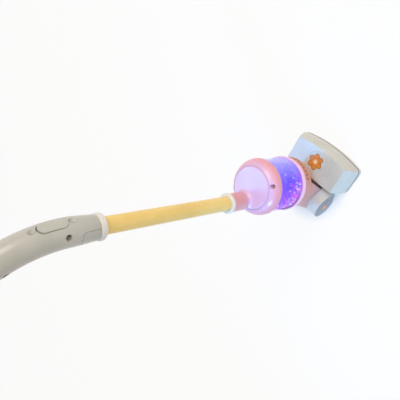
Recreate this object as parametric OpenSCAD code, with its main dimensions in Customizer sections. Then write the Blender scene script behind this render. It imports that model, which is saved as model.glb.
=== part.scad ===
// Toy stick vacuum: floor head on a hinged yoke, lit clear bin, tube and bent handle.
// Millimetres. +X is the front, +Z is up, and the sole stands on z = 0.

/* [Floor head] */
// Width of the head
head_w = 117; // [100:1:140]
// Depth of the head on its middle line
head_d = 52.5; // [50:0.5:70]
// Radius of the bowed front edge
front_r = 250; // [150:5:400]
// Corner radius of the head's outline
head_corner = 8; // [5:0.5:12]
// Height of the split line between sole and cover
rim_h = 10; // [9:0.5:13]
// Height of the cover above the split line
cover_h = 30; // [24:0.5:34]
// Run of the cover's sloping front
front_run = 5; // [3:0.5:9]
// Run of the cover's sloping ends
end_run = 11; // [8:0.5:14]
// Wall of the two head shells
head_wall = 2.2; // [1.6:0.1:2.8]
// Reach and height of the lip round the sole's rim
rim_lip = 1; // [0.6:0.1:1.6]
// Diameter of the round plate on the cover
badge_d = 33; // [24:1:38]
// Width of the suction mouth
mouth_w = 76; // [60:1:84]
// Depth of the suction mouth
mouth_d = 13; // [9:0.5:15]
// Diameter of a head wheel
wheel_d = 12; // [10:0.5:13]
// Width of a head wheel
wheel_w = 8; // [6:0.5:9]

/* [Hinge] */
// Height of the hinge axis, and radius of the arms' round ends
pivot_h = 20.5; // [19:0.5:24]
// From the hinge axis to the back of the head
head_rear = 33; // [30:0.5:38]
// Clear width between the two arms
yoke_gap = 55.4; // [48:0.2:60]
// From an arm's outer face to the end of the head
arm_margin = 12.3; // [12:0.1:15]
// Radius of an arm's tip at the head
arm_tip_r = 4; // [3:0.5:6]
// Diameter of the hinge pin
pin_d = 5; // [4:0.5:6]
// Diameter of the round plate on an arm
pivot_cap_d = 27; // [18:1:32]

/* [Lower housing and bin] */
// From the tube's axis to the bin's axis
bin_x = 23; // [20:0.5:24]
// Radius of the housing's round hub at the hinge
hub_r = 19; // [17:0.5:20]
// From the hinge axis up to the round collar
tongue_h = 64; // [63.5:0.5:75]
// Front of the tongue where it meets the collar
tongue_front = 46; // [42:0.5:50]
// Outer radius of the collar and of the clear bin
bin_r = 39.4; // [37:0.1:42]
// Height of the collar
collar_h = 19.5; // [15:0.5:22]
// Height of clear bin that shows between its ring and the cap
bin_show_h = 53; // [40:1:70]
// Wall of the clear bin
bin_wall = 1.8; // [1.4:0.1:2.4]
// Wall of the pink housings
shell_wall = 2.2; // [1.8:0.1:2.6]
// Height of the band round the foot of the bin
ring_h = 8; // [6:0.5:9]
// How far the band stands out from the bin
ring_out = 1.7; // [1:0.1:2.5]
// Number of slots in the bin's floor
grille_slots = 24; // [12:1:28]
// Number of fan blades
fan_blades = 9; // [5:1:12]
// Number of foam beads
bead_count = 70; // [20:1:80]
// Diameter of a foam bead
bead_d = 4.4; // [3:0.1:5]

/* [Cap and neck] */
// Largest radius of the cap's shoulder
shoulder_r = 41; // [40.9:0.1:45]
// Height of the rounded shoulder
shoulder_h = 16; // [14:0.5:20]
// Radius of the flat disc on the cap
disc_r = 30.4; // [28:0.2:33]
// Height of the flat disc above the shoulder
disc_h = 2.2; // [1.8:0.1:5]
// Outer diameter of the neck
neck_d = 26.4; // [25:0.2:28]
// Height of the neck above the disc
neck_h = 31; // [20:0.5:40]

/* [Tube] */
// Outer diameter of the tube
tube_d = 20; // [18:0.5:21]
// Wall of the tube
tube_wall = 1.5; // [1:0.1:2]
// Length of tube that shows between the two rings
tube_show_l = 193; // [120:1:300]
// Diameter of the ring on the neck
neck_ring_d = 29; // [28:0.5:32]
// Height of the ring on the neck
neck_ring_h = 6; // [5:0.5:12]
// Diameter of the ring on the handle
grip_ring_d = 30.4; // [30:0.2:33]
// Height of the ring on the handle
grip_ring_h = 9; // [7:0.5:12]

/* [Handle] */
// Radius of the handle at its ring
grip_start_r = 14; // [13.8:0.1:15]
// Radius of the handle round the bend
grip_r = 15.6; // [15.4:0.1:17]
// Radius of the handle at its end
grip_end_r = 17; // [16:0.1:18]
// Length of the straight stretch below the bend
grip_start_l = 26; // [24:0.5:32]
// Radius of the bend at the handle's middle line
bend_r = 115; // [105:1:140]
// Angle of the bend
bend_a = 46; // [42:1:52]
// Length of the straight grip above the bend
grip_l = 62; // [50:1:80]
// Wall of the handle shells
grip_wall = 2; // [1.6:0.1:2.2]
// Length of the power rocker
rocker_l = 30; // [26:0.5:33]
// Width of the power rocker
rocker_w = 13; // [10:0.5:14]
// Tilt of the rocker away from level, each way
rocker_tilt = 3; // [2:0.5:4]
// Width of a release tab
tab_w = 16; // [12:0.5:17]
// Length of a release tab
tab_l = 20; // [16:0.5:22]
// Travel of a release tab
tab_travel = 0.8; // [0.5:0.1:0.9]

/* [Hidden] */
$fn = 64;
// Overrun of every cut past the face it opens
over = 0.5;
// Running clearance round pins and shafts, on the radius
run_gap = 0.05;
// Clearance between pieces that are fitted and stay put
seat_gap = 0.1;
// Clearance between pieces that move past each other
move_gap = 0.35;
// How far a straight side runs inside the round it joins
side_sink = 0.05;

// Colours
grey = [0.82, 0.81, 0.77];
mid_grey = [0.62, 0.63, 0.64];
cream = [0.93, 0.91, 0.85];
yellow = [0.96, 0.82, 0.42];
pink = [0.91, 0.66, 0.73];
pale_pink = [0.96, 0.80, 0.93];
clear = [0.62, 0.60, 0.98, 0.45];
white = [0.95, 0.95, 0.95];
steel = [0.70, 0.71, 0.73];
board_green = [0.16, 0.42, 0.27];
dark = [0.16, 0.16, 0.18];
brass = [0.80, 0.66, 0.32];

// Screws, shared by every joint that is screwed
screw_r = 1.1;
screw_head_r = 2.6;
screw_head_h = 1.8;
screw_bite = 8;
post_r = 3.4;
sink_r = screw_head_r + 6 * seat_gap;

// Floor head
half_w = head_w / 2;
front_x = head_rear + head_d;
front_cx = front_x - front_r;
corner_y = half_w - head_corner;
corner_x = front_cx + sqrt(pow(front_r - head_corner, 2) - pow(corner_y, 2));
rear_corner_x = head_rear + head_corner;
rim_gap = 1.2;
sole_top = rim_h - rim_gap;
lip_h = 3;
mouth_inset = 12;
mouth_x = front_x - mouth_inset - mouth_d / 2;
mouth_wall = 1.6;
mouth_roof_h = sole_top - 2 * mouth_wall;
badge_t = 1.4;
badge_sink = 0.9;
cap_edge_share = 0.3;
badge_x_shift = 2;
badge_x = (head_rear + front_x - front_run) / 2 + badge_x_shift;
axle_d = 2.5;
axle_h = wheel_d / 2;
wheel_cheek = 2;
wheel_x = head_rear + wheel_d / 2 + 2.5 * head_wall;
groove_share = 0.15;
wheel_edge_share = 0.18;
wheel_y = half_w - head_wall - wheel_cheek - wheel_w / 2 - 2 * move_gap;
axle_reach = wheel_w / 2 + move_gap + wheel_cheek;
rear_post_share = 0.24;
rear_post_y = half_w * rear_post_share;
rear_post_x = head_rear + head_wall + 2 * post_r;
front_post_y = (half_w - head_wall + mouth_w / 2 + mouth_wall) / 2;
head_posts = [for (side = [-1, 1]) each [[rear_post_x, side * rear_post_y], [mouth_x, side * front_post_y]]];
sole_sink_h = 6;

// Yoke
arm_in = yoke_gap / 2;
arm_out = half_w - arm_margin;
arm_t = arm_out - arm_in;
arm_tip_x = head_rear - arm_tip_r - move_gap;
arm_tip_z = -2;
foot_l = 16;
foot_inset = 3.2;
foot_w = arm_t - 2 * foot_inset;
foot_z = head_wall;
foot_top = pivot_h + arm_tip_z;
foot_h = foot_top - rim_h;
root_l = 10;
root_up = 7;
root_inset = 0.7;
root_corner = 1.6;
pedestal_x = head_rear + rim_lip + head_wall + seat_gap;
foot_y = arm_in + arm_t / 2;
foot_screw_x = (pedestal_x + head_rear + foot_l) / 2;
pivot_cap_t = 1.6;
pivot_cap_sink = 1.1;
pin_end = arm_out - pivot_cap_sink - 2 * seat_gap;

// Lower housing
tongue_w = yoke_gap - 2 * move_gap;
tongue_rear = 2 * bin_x - tongue_front;
back_lean = 180 - atan2(tongue_h, tongue_rear) - acos(hub_r / norm([tongue_rear, tongue_h]));
back_z = pivot_h + (tongue_h - hub_r * sin(back_lean)) / cos(back_lean);
collar_z = pivot_h + tongue_h;
collar_top = collar_z + collar_h;
collar_in_r = bin_r - shell_wall;
collar_floor = collar_z + shell_wall;
pin_boss_wall = 3;
pin_boss_r = pin_d / 2 + pin_boss_wall;
cell_d = 10.5;
cell_l = 44.5;
cell_pitch = 11.6;
cell_ys = [for (step = [-1:1]) step * cell_pitch];
door_t = 1.8;
contact_t = 0.6;
contact_w = 9.4;
bay_x = -hub_r + door_t + seat_gap;
cell_x = bay_x + 4 * seat_gap + cell_d / 2;
bay_front = cell_x + cell_d / 2 + 4 * seat_gap;
bay_wall = 1.6;
bay_roof = 6.4;
bay_top = back_z - bay_roof;
cell_top = bay_top - contact_t - seat_gap;
cell_bottom = cell_top - cell_l;
bay_floor = cell_bottom - contact_t - seat_gap;
bay_w = 2 * cell_pitch + cell_d + 8 * seat_gap;
door_lap = 3;
door_top = back_z - 3 * seat_gap;
door_bottom = bay_floor - door_lap;
door_w = bay_w + 2 * bay_wall;
bay_base = door_bottom - bay_wall;
bay_box_w = bay_w + 4 * bay_wall;
door_screw_drop = 3.9;
door_screw_z = back_z - door_screw_drop;
door_rib = 0.8;
door_ribs = 4;
door_rib_pitch = 1.5;
door_rib_share = 0.4;

// Motor and fan
motor_r = 8.4;
motor_l = 25;
motor_nose_r = 3.5;
plate_t = 2;
plate_top = collar_floor + plate_t;
shaft_r = 1;
shaft_bite = 14;
fan_lift = 1.8;
fan_base = plate_top + fan_lift;
fan_side_gap = 4;
fan_r = collar_in_r - fan_side_gap;
fan_hub_r = 5;
fan_disc_t = 1.4;
blade_t = 1.4;
blade_sweep = 18;
fan_top_gap = 1.6;
fan_h = collar_top - fan_base - fan_top_gap;

// Bin
grille_t = 2;
bin_foot = collar_top + grille_t;
slot_w = 2.4;
slot_in_r = 12;
grille_rim = 4;
slot_out_r = collar_in_r - grille_rim;
ring_lap = 2.5;
ring_z = bin_foot + ring_lap - ring_h;
ring_round_share = 0.9;
cap_z = ring_z + ring_h + bin_show_h;
bin_lap = 2.5;
bin_top = cap_z + bin_lap;
lug_r = 3.8;
lug_h = 13;
lug_sink = 1.1;
lug_ring_r = bin_r - bin_wall - lug_r + lug_sink;
lug_angles = [-50, 130];
bead_field_r = bin_r - bin_wall - bead_d;
golden_angle = 137.508;
bead_start_share = 0.5;

// Cap and neck
board_t = 1.6;
board_top = bin_top + board_t;
cap_post_h = 3;
cap_screw_z = board_top + cap_post_h;
led_r = 2.5;
led_l = 6;
led_ring_r = 20;
led_count = 5;
shoulder_top = cap_z + shoulder_h;
crease_w = 1.1;
crease_groove_r = 0.65;
crease_r = disc_r + crease_w;
shoulder_drop = shoulder_r - crease_r;
shoulder_arc = (pow(shoulder_drop, 2) + pow(shoulder_h, 2)) / (2 * shoulder_drop);
disc_edge = 1.6;
disc_top = shoulder_top + disc_h;
neck_top = disc_top + neck_h;
neck_sink = 4;
neck_root = shoulder_top - neck_sink;
socket_base = 1;
socket_floor = disc_top + socket_base;
wire_hole_r = 5;
flare_r = 3;

// Tube and rings
tube_r = tube_d / 2;
tube_low = socket_floor + seat_gap;
ring_seat = neck_top;
tube_show_z = ring_seat + neck_ring_h;
grip_ring_z = tube_show_z + tube_show_l;
ring_edge_share = 0.42;
grip_z = grip_ring_z + grip_ring_h;

// Handle
bend_z = grip_z + grip_start_l;
socket_rib_h = 2;
socket_rib_z = bend_z + over;
tube_high = socket_rib_z + socket_rib_h + over;
grip_swell = (grip_end_r - grip_r) / grip_l;
join_bulge = 0.25;
rocker_at = 9.6;
rocker_proud = 0.9;
rocker_t = 5;
rocker_pin_r = 1.25;
rocker_pin_n = 8.3;
rocker_pin_reach = sqrt(pow(grip_r - grip_wall, 2) - pow(rocker_pin_n, 2)) + grip_wall / 2;
rocker_hub_r = 2.7;
rocker_hub_w = 9;
rocker_web = 4;
slot_end_gap = 0.6;
dip_r = 7;
dip_depth = 1.4;
dip_gap = 2.2;
dip_a = (rocker_l / 2 + dip_gap) / bend_r * 180 / PI;
board_n = 1.2;
board_l = 26;
board_past = 5.3;
board_at = rocker_at + board_past;
board_sag = bend_r - sqrt(pow(bend_r, 2) - pow(board_l / 2, 2));
board_w = 2 * sqrt(pow(grip_r - grip_wall, 2) - pow(board_n + board_t + board_sag, 2)) - 2 * seat_gap;
switch_l = 8;
switch_w = 6;
switch_h = 4.4;
plunger_r = 1.2;
press_arm = bend_r * (board_at - rocker_at) * PI / 180;
pressed_n = grip_r + rocker_proud - rocker_t - press_arm * sin(rocker_tilt);
plunger_h = pressed_n - move_gap - board_n - board_t - switch_h;
tab_z = grip_z + 4 * seat_gap;
tab_flange = 1.4;
tab_stop_gap = 0.3;
tab_flange_t = grip_start_r - grip_wall - tube_r - seat_gap - tab_travel - tab_stop_gap;
tab_corner = 4;
wire_r = 0.8;
wire_x = -3.4;
wire_pitch = 3.6;
board_half_a = asin(board_l / 2 / bend_r);
wire_top = bend_z + (bend_r + board_n) * sin(board_at - board_half_a);
// Handle posts: angle round the bend, share of the straight grip beyond it, and share of the radius out
post_angles = [4.6, 36, bend_a];
post_along_shares = [0, 0, 0.65];
post_out_shares = [0.42, -0.47, 0];
grip_post_share = 0.32;
grip_post_r = 2.6;

// The frame's origin lies on the floor, midway between the handle's end and the head's front
grip_end_x = -bend_r * (1 - cos(bend_a)) - grip_l * sin(bend_a) - grip_end_r;
frame_x = -(front_x + grip_end_x) / 2;

// Shared shapes

// Moves a piece drawn round the hinge and tube axes into the part's frame
module in_frame() {
    translate([frame_x, 0, 0])
        children();
}

// Puts children on the bin's axis at a height
module on_bin(z) {
    translate([bin_x, 0, z])
        children();
}

// Round rod along Y between two places
module y_rod(r, y0, y1) {
    translate([0, y1, 0])
        rotate([90, 0, 0])
            cylinder(r = r, h = y1 - y0);
}

// Ring with square edges
module plain_ring(r_out, r_in, h) {
    difference() {
        cylinder(r = r_out, h = h);
        translate([0, 0, -over])
            cylinder(r = r_in, h = h + 2 * over);
    }
}

// Ring with rounded outer edges
module round_ring(r_out, r_in, h, edge) {
    rotate_extrude()
        intersection() {
            union() {
                square([r_out - edge, h]);
                translate([0, edge])
                    square([r_out, h - 2 * edge]);
                for (z = [edge, h - edge])
                    translate([r_out - edge, z])
                        circle(r = edge);
            }
            translate([r_in, 0])
                square([r_out - r_in, h]);
        }
}

// Pan-head screw: the head stands above its seat at zero, the shank goes down
module screw(shank_l) {
    cylinder(r = screw_head_r, h = screw_head_h);
    translate([0, 0, -shank_l])
        cylinder(r = screw_r - seat_gap / 2, h = shank_l + over);
}

// Mirrors a right-hand piece (at -Y) to the left
module on_side(side) {
    mirror([0, side > 0 ? 1 : 0, 0])
        children();
}

// Straight-sided stadium
module stadium(l, w) {
    square([l - w, w], center = true);
    for (end = [-1, 1])
        translate([end * (l - w) / 2, 0])
            circle(d = w);
}

// Rectangle with round corners
module round_rect(l, w, r) {
    square([l - 2 * r, w], center = true);
    square([l, w - 2 * r], center = true);
    for (x = [-1, 1], y = [-1, 1])
        translate([x * (l / 2 - r), y * (w / 2 - r)])
            circle(r = r);
}

// Two circles and the straight sides that touch both
module drop_outline(big_r, tip, tip_r) {
    along = atan2(tip[1], tip[0]);
    spread = acos((big_r - tip_r) / norm(tip));
    function touch(side) = [cos(along + side * spread), sin(along + side * spread)];
    big_in = big_r - side_sink;
    tip_in = tip_r - side_sink;
    circle(r = big_r);
    translate(tip)
        circle(r = tip_r);
    polygon([
        big_in * touch(1), tip + tip_in * touch(1),
        tip + tip_in * touch(-1), big_in * touch(-1)
    ]);
}

// Handle

// Frame at an angle round the bend: X points out of the bend, Z along the handle
module at_bend(angle) {
    translate([-bend_r, 0, bend_z])
        rotate([0, -angle, 0])
            translate([bend_r, 0, 0])
                children();
}

// The handle's bent stretch, taken in by an inset all round
module grip_bend(inset) {
    translate([-bend_r, 0, bend_z])
        rotate([90, 0, 0])
            rotate_extrude(angle = bend_a)
                translate([bend_r, 0])
                    circle(r = grip_r - inset);
}

// The straight grip beyond the bend, with its round end
module grip_end(inset) {
    at_bend(bend_a) {
        translate([0, 0, over])
            cylinder(r1 = grip_r - inset + over * grip_swell, r2 = grip_end_r - inset, h = grip_l - over);
        translate([0, 0, grip_l])
            sphere(r = grip_end_r - inset);
    }
}

// The handle's whole solid form
module grip_form(inset) {
    translate([0, 0, grip_z])
        cylinder(r1 = grip_start_r - inset, r2 = grip_r - inset, h = grip_start_l);
    grip_bend(inset);
    at_bend(bend_a)
        sphere(r = grip_r - inset + join_bulge);
    grip_end(inset);
}

// Block that holds one side of the middle plane
module half_space(side) {
    reach = bend_r + grip_l;
    translate([-reach, side > 0 ? 0 : -reach, grip_z - over])
        cube([2 * reach, reach, 2 * reach]);
}

// Outline of a release tab, widened by a margin, as a bar along Y from a lower end
module tab_bar(margin, low) {
    w = tab_w + 2 * margin;
    high = tab_z + tab_l + margin;
    rotate([90, 0, 0])
        linear_extrude(2 * grip_end_r) {
            translate([-w / 2, low])
                square([w, high - tab_corner - low]);
            translate([0, (low + high) / 2])
                rotate(90)
                    round_rect(high - low, w, tab_corner);
        }
}

// Opening of the rocker's slot, as a bar along the bend's own X
module rocker_bar(l, w) {
    at_bend(rocker_at)
        translate([rocker_pin_n, 0, 0])
            rotate([0, 90, 0])
                linear_extrude(2 * grip_r)
                    stadium(l, w);
}

// Shallow dips for a finger at both ends of the rocker
module finger_dips() {
    for (end = [-1, 1])
        at_bend(rocker_at + end * dip_a)
            translate([grip_r + dip_r - dip_depth, 0, 0])
                sphere(r = dip_r);
}

// Place of one screw post in the handle
module at_post(i) {
    at_bend(post_angles[i])
        translate([post_out_shares[i] * grip_r, 0, post_along_shares[i] * grip_l])
            children();
}

module at_posts() {
    for (i = [0:len(post_angles) - 1])
        at_post(i)
            children();
}

module handle_shell(side) {
    post_reach = grip_r * grip_post_share;
    difference() {
        union() {
            intersection() {
                difference() {
                    grip_form(0);
                    grip_form(grip_wall);
                    translate([0, 0, grip_z - over])
                        cylinder(r = grip_start_r - grip_wall, h = 2 * over);
                }
                half_space(side);
            }
            intersection() {
                translate([0, 0, socket_rib_z])
                    plain_ring(grip_r, tube_r + seat_gap, socket_rib_h);
                grip_bend(grip_wall / 2);
                half_space(side);
            }
            for (i = [0:len(post_angles) - 1])
                intersection() {
                    at_post(i)
                        if (side > 0)
                            y_rod(grip_post_r, seat_gap / 2, grip_r);
                        else {
                            y_rod(post_r + grip_wall, -grip_r, -post_reach);
                            y_rod(grip_post_r, -post_reach - over, -seat_gap / 2);
                        }
                    if (post_along_shares[i] > 0)
                        grip_end(grip_wall / 2);
                    else
                        grip_bend(grip_wall / 2);
                }
        }
        at_posts()
            if (side > 0)
                y_rod(screw_r, -over, screw_bite);
            else {
                y_rod(sink_r, -2 * grip_r, -post_reach - screw_head_h);
                y_rod(screw_r + seat_gap, -grip_r, over);
            }
        rocker_bar(rocker_l + 2 * slot_end_gap, rocker_w + 2 * move_gap);
        finger_dips();
        at_bend(rocker_at)
            translate([rocker_pin_n, 0, 0])
                y_rod(rocker_pin_r + seat_gap / 4, -rocker_pin_reach - seat_gap, rocker_pin_reach + seat_gap);
        on_side(side)
            tab_bar(move_gap, grip_z - over);
    }
}

module handle_shell_right() {
    color(grey)
        in_frame()
            handle_shell(-1);
}

module handle_shell_left() {
    color(grey)
        in_frame()
            handle_shell(1);
}

// One screw at each post, driven from the right
module handle_screws() {
    seat = grip_r * grip_post_share + screw_head_h;
    color(steel)
        in_frame()
            at_posts()
                translate([0, -seat, 0])
                    rotate([90, 0, 0])
                        screw(seat + screw_bite - over);
}

module handle_collar() {
    color(cream)
        in_frame()
            translate([0, 0, grip_ring_z])
                round_ring(grip_ring_d / 2, tube_r + seat_gap, grip_ring_h, grip_ring_h * ring_edge_share);
}

// Curved key on a cross pin, tipped so that its upper end stands proud
module power_rocker() {
    color(grey)
        in_frame()
            at_bend(rocker_at)
                translate([rocker_pin_n, 0, 0])
                    rotate([0, rocker_tilt, 0])
                        difference() {
                            union() {
                                rocker_cap();
                                y_rod(rocker_hub_r, -rocker_hub_w / 2, rocker_hub_w / 2);
                                translate([0, -rocker_hub_w / 2, -rocker_web / 2])
                                    cube([grip_r - rocker_pin_n - rocker_t / 2, rocker_hub_w, rocker_web]);
                            }
                            y_rod(rocker_pin_r + run_gap, -rocker_w, rocker_w);
                        }
}

// The rocker's curved top, drawn round its pin at level
module rocker_cap() {
    sweep = 2 * rocker_at;
    intersection() {
        rotate([0, 90, 0])
            linear_extrude(2 * grip_r)
                stadium(rocker_l, rocker_w);
        translate([-rocker_pin_n - bend_r, 0, 0])
            rotate([0, rocker_at, 0])
                rotate([90, 0, 0])
                    rotate_extrude(angle = sweep)
                        translate([bend_r, 0])
                            difference() {
                                circle(r = grip_r + rocker_proud);
                                circle(r = grip_r + rocker_proud - rocker_t);
                                translate([-2 * grip_r, -2 * grip_r])
                                    square([2 * grip_r, 4 * grip_r]);
                            }
    }
}

module rocker_pin() {
    color(steel)
        in_frame()
            at_bend(rocker_at)
                translate([rocker_pin_n, 0, 0])
                    y_rod(rocker_pin_r, -rocker_pin_reach, rocker_pin_reach);
}

// Circuit board under the rocker's upper half
module switch_board() {
    color(board_green)
        in_frame()
            at_bend(board_at)
                translate([board_n, -board_w / 2, -board_l / 2])
                    cube([board_t, board_w, board_l]);
}

module power_switch() {
    color(dark)
        in_frame()
            at_bend(board_at)
                translate([board_n + board_t, 0, 0]) {
                    translate([0, -switch_w / 2, -switch_l / 2])
                        cube([switch_h, switch_w, switch_l]);
                    rotate([0, 90, 0])
                        cylinder(r = plunger_r, h = switch_h + plunger_h);
                }
}

// U-shaped tab in the handle's side, held by an inner flange
module release_tab(side) {
    color(grey)
        in_frame()
            on_side(side) {
                intersection() {
                    difference() {
                        grip_form(0);
                        grip_form(grip_wall + over);
                    }
                    tab_bar(0, tab_z);
                }
                intersection() {
                    difference() {
                        grip_form(grip_wall + seat_gap);
                        grip_form(grip_wall + seat_gap + tab_flange_t);
                    }
                    tab_bar(tab_flange, tab_z);
                }
            }
}

module release_tab_right() {
    release_tab(-1);
}

module release_tab_left() {
    release_tab(1);
}

// Tube, wires and neck ring

module wand_tube() {
    color(yellow)
        in_frame()
            translate([0, 0, tube_low])
                plain_ring(tube_r, tube_r - tube_wall, tube_high - tube_low);
}

// Two wires from the light board up the tube to the switch board
module wire_harness() {
    color(dark)
        in_frame()
            for (side = [-1, 1])
                translate([wire_x, side * wire_pitch / 2, board_top])
                    cylinder(r = wire_r, h = wire_top - board_top);
}

module neck_collar() {
    color(cream)
        in_frame()
            translate([0, 0, ring_seat])
                round_ring(neck_ring_d / 2, tube_r + seat_gap, neck_ring_h, neck_ring_h * ring_edge_share);
}

// Cap and light

// Half section of the cap's dome, taken in by an inset
module cap_section(inset) {
    arc = shoulder_arc - inset;
    arc_x = shoulder_r - shoulder_arc;
    square([arc_x, shoulder_h - inset]);
    intersection() {
        translate([arc_x, 0])
            circle(r = arc);
        square([shoulder_r, shoulder_h - inset]);
    }
    square([disc_r - disc_edge, shoulder_h + disc_h - inset]);
    square([disc_r - inset, shoulder_h + disc_h - disc_edge]);
    translate([disc_r - disc_edge, shoulder_h + disc_h - disc_edge - inset])
        circle(r = disc_edge);
}

module at_lugs(z) {
    on_bin(z)
        for (angle = lug_angles)
            rotate(angle)
                translate([lug_ring_r, 0, 0])
                    children();
}

module top_cap() {
    color(pink)
        in_frame()
            difference() {
                union() {
                    difference() {
                        on_bin(cap_z)
                            rotate_extrude()
                                cap_section(0);
                        on_bin(board_top + seat_gap)
                            intersection() {
                                translate([0, 0, cap_z - board_top])
                                    rotate_extrude()
                                        cap_section(shell_wall);
                                cylinder(r = shoulder_r, h = shoulder_h + disc_h);
                            }
                    }
                    translate([0, 0, neck_root])
                        cylinder(r = neck_d / 2, h = neck_top - neck_root);
                    intersection() {
                        translate([0, 0, disc_top])
                            cylinder(r1 = neck_d / 2 + flare_r, r2 = neck_d / 2, h = flare_r);
                        on_bin(disc_top - over)
                            cylinder(r = disc_r - disc_edge, h = neck_h);
                    }
                    intersection() {
                        at_lugs(board_top + seat_gap)
                            cylinder(r = post_r + shell_wall, h = shoulder_h);
                        on_bin(cap_z)
                            rotate_extrude()
                                cap_section(shell_wall / 2);
                    }
                }
                on_bin(cap_z - over)
                    cylinder(r = bin_r + seat_gap, h = board_top - cap_z + seat_gap + over);
                translate([0, 0, socket_floor])
                    cylinder(r = tube_r + seat_gap, h = neck_top);
                translate([0, 0, cap_z])
                    cylinder(r = wire_hole_r, h = neck_top);
                at_lugs(cap_screw_z)
                    cylinder(r = sink_r, h = shoulder_h + disc_h);
                at_lugs(cap_z)
                    cylinder(r = screw_r + seat_gap, h = shoulder_h);
                on_bin(shoulder_top)
                    rotate_extrude()
                        translate([disc_r + crease_w / 2, 0])
                            circle(r = crease_groove_r);
            }
}

module cap_screws() {
    color(steel)
        in_frame()
            at_lugs(cap_screw_z)
                screw(cap_screw_z - bin_top + screw_bite);
}

// Round board that closes the bin's top and carries the lights
module led_board() {
    color(board_green)
        in_frame()
            difference() {
                on_bin(bin_top)
                    cylinder(r = bin_r - seat_gap, h = board_t);
                at_lugs(bin_top - over)
                    cylinder(r = screw_r + seat_gap, h = board_t + 2 * over);
            }
}

module leds() {
    color(white)
        in_frame()
            on_bin(bin_top - led_l)
                for (i = [0:led_count - 1])
                    rotate(i * 360 / led_count)
                        translate([led_ring_r, 0, 0]) {
                            translate([0, 0, led_r])
                                cylinder(r = led_r, h = led_l - led_r);
                            translate([0, 0, led_r])
                                sphere(r = led_r);
                        }
}

// Bin

module dust_bin() {
    color(clear)
        in_frame()
            difference() {
                union() {
                    on_bin(bin_foot)
                        plain_ring(bin_r, bin_r - bin_wall, bin_top - bin_foot);
                    at_lugs(bin_top - lug_h)
                        cylinder(r = lug_r, h = lug_h - seat_gap);
                }
                at_lugs(bin_top - screw_bite)
                    cylinder(r = screw_r, h = screw_bite + over);
            }
}

module bin_ring() {
    color(pale_pink)
        in_frame()
            on_bin(ring_z)
                round_ring(bin_r + ring_out, bin_r + seat_gap, ring_h, ring_out * ring_round_share);
}

// Slotted floor between the bin and the fan
module bin_grille() {
    color(pale_pink)
        in_frame()
            on_bin(collar_top)
                difference() {
                    cylinder(r = bin_r - seat_gap, h = grille_t);
                    for (i = [0:grille_slots - 1])
                        rotate(i * 360 / grille_slots)
                            translate([(slot_in_r + slot_out_r) / 2, 0, -over])
                                linear_extrude(grille_t + 2 * over)
                                    stadium(slot_out_r - slot_in_r, slot_w);
                }
}

// Loose beads spread over the bin's floor on a sunflower spiral
module foam_beads() {
    spread = bead_field_r / sqrt(bead_count);
    color(white)
        in_frame()
            on_bin(bin_foot + bead_d / 2 + seat_gap / 2)
                for (i = [0:bead_count - 1])
                    rotate(i * golden_angle)
                        translate([spread * sqrt(i + bead_start_share), 0, 0])
                            sphere(d = bead_d);
}

// Lower housing

// Side outline of the tongue round the hinge axis, taken in by an inset
module tongue_outline(inset, top) {
    hub = hub_r - inset;
    nose = [tongue_front - inset, tongue_h];
    heel = [tongue_rear + inset, tongue_h];
    front_a = atan2(nose[1], nose[0]) - acos(hub / norm(nose));
    back_a = atan2(heel[1], heel[0]) + acos(hub / norm(heel));
    function foot(angle) = (hub - side_sink) * [cos(angle), sin(angle)];
    circle(r = hub);
    intersection() {
        polygon([foot(back_a), heel, nose, foot(front_a)]);
        translate([-hub_r, -hub_r])
            square([hub_r + tongue_front, hub_r + top]);
    }
}

// Turns the battery bay, drawn upright, into line with the tongue's leaning back
module leaned() {
    translate([0, 0, pivot_h])
        rotate([0, back_lean, 0])
            translate([0, 0, -pivot_h])
                children();
}

module tongue_bar(inset, top) {
    translate([0, tongue_w / 2 - inset, pivot_h])
        rotate([90, 0, 0])
            linear_extrude(tongue_w - 2 * inset)
                tongue_outline(inset, top);
}

// Box across the tongue, given by its low and high X and Z
module cross_box(x0, x1, z0, z1, w) {
    translate([x0, -w / 2, z0])
        cube([x1 - x0, w, z1 - z0]);
}

// Walls round the cells, and the roof that takes the door's screw
module bay_walls() {
    front = bay_front + bay_wall;
    roof_top = back_z - over;
    cross_box(-hub_r + over, front, bay_base, bay_floor, bay_box_w);
    cross_box(bay_front, front, bay_base, roof_top, bay_box_w);
    cross_box(-hub_r + over, front, bay_top, roof_top, bay_box_w);
    for (side = [-1, 1])
        translate([0, side * (bay_w / 2 + bay_wall), 0])
            cross_box(-hub_r + over, front, bay_base, roof_top, 2 * bay_wall);
}

// Opening for the cells, seat of the door and bore of its screw
module bay_cuts() {
    cross_box(-hub_r - over, bay_x, door_bottom - seat_gap, door_top + seat_gap, door_w + 2 * seat_gap);
    cross_box(-hub_r - over, bay_front, bay_floor, bay_top, bay_w);
    translate([bay_x, 0, door_screw_z])
        rotate([0, 90, 0])
            cylinder(r = screw_r, h = screw_bite);
}

module lower_housing() {
    color(pink)
        in_frame()
            difference() {
                union() {
                    difference() {
                        union() {
                            tongue_bar(0, tongue_h);
                            on_bin(collar_z)
                                cylinder(r = bin_r, h = collar_h);
                        }
                        tongue_bar(shell_wall, tongue_h - shell_wall);
                        on_bin(collar_floor)
                            cylinder(r = collar_in_r, h = collar_h);
                        on_bin(collar_z - 2 * shell_wall)
                            cylinder(r = motor_r + fan_side_gap, h = collar_h);
                    }
                    translate([0, 0, pivot_h])
                        y_rod(pin_boss_r, -tongue_w / 2 + over, tongue_w / 2 - over);
                    leaned()
                        bay_walls();
                }
                translate([0, 0, pivot_h])
                    y_rod(pin_d / 2 + run_gap, -yoke_gap, yoke_gap);
                leaned()
                    bay_cuts();
            }
}

// Round plate that carries the motor under the fan
module motor_plate() {
    color(white)
        in_frame()
            on_bin(collar_floor)
                plain_ring(collar_in_r - seat_gap, motor_nose_r + seat_gap, plate_t);
}

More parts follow.
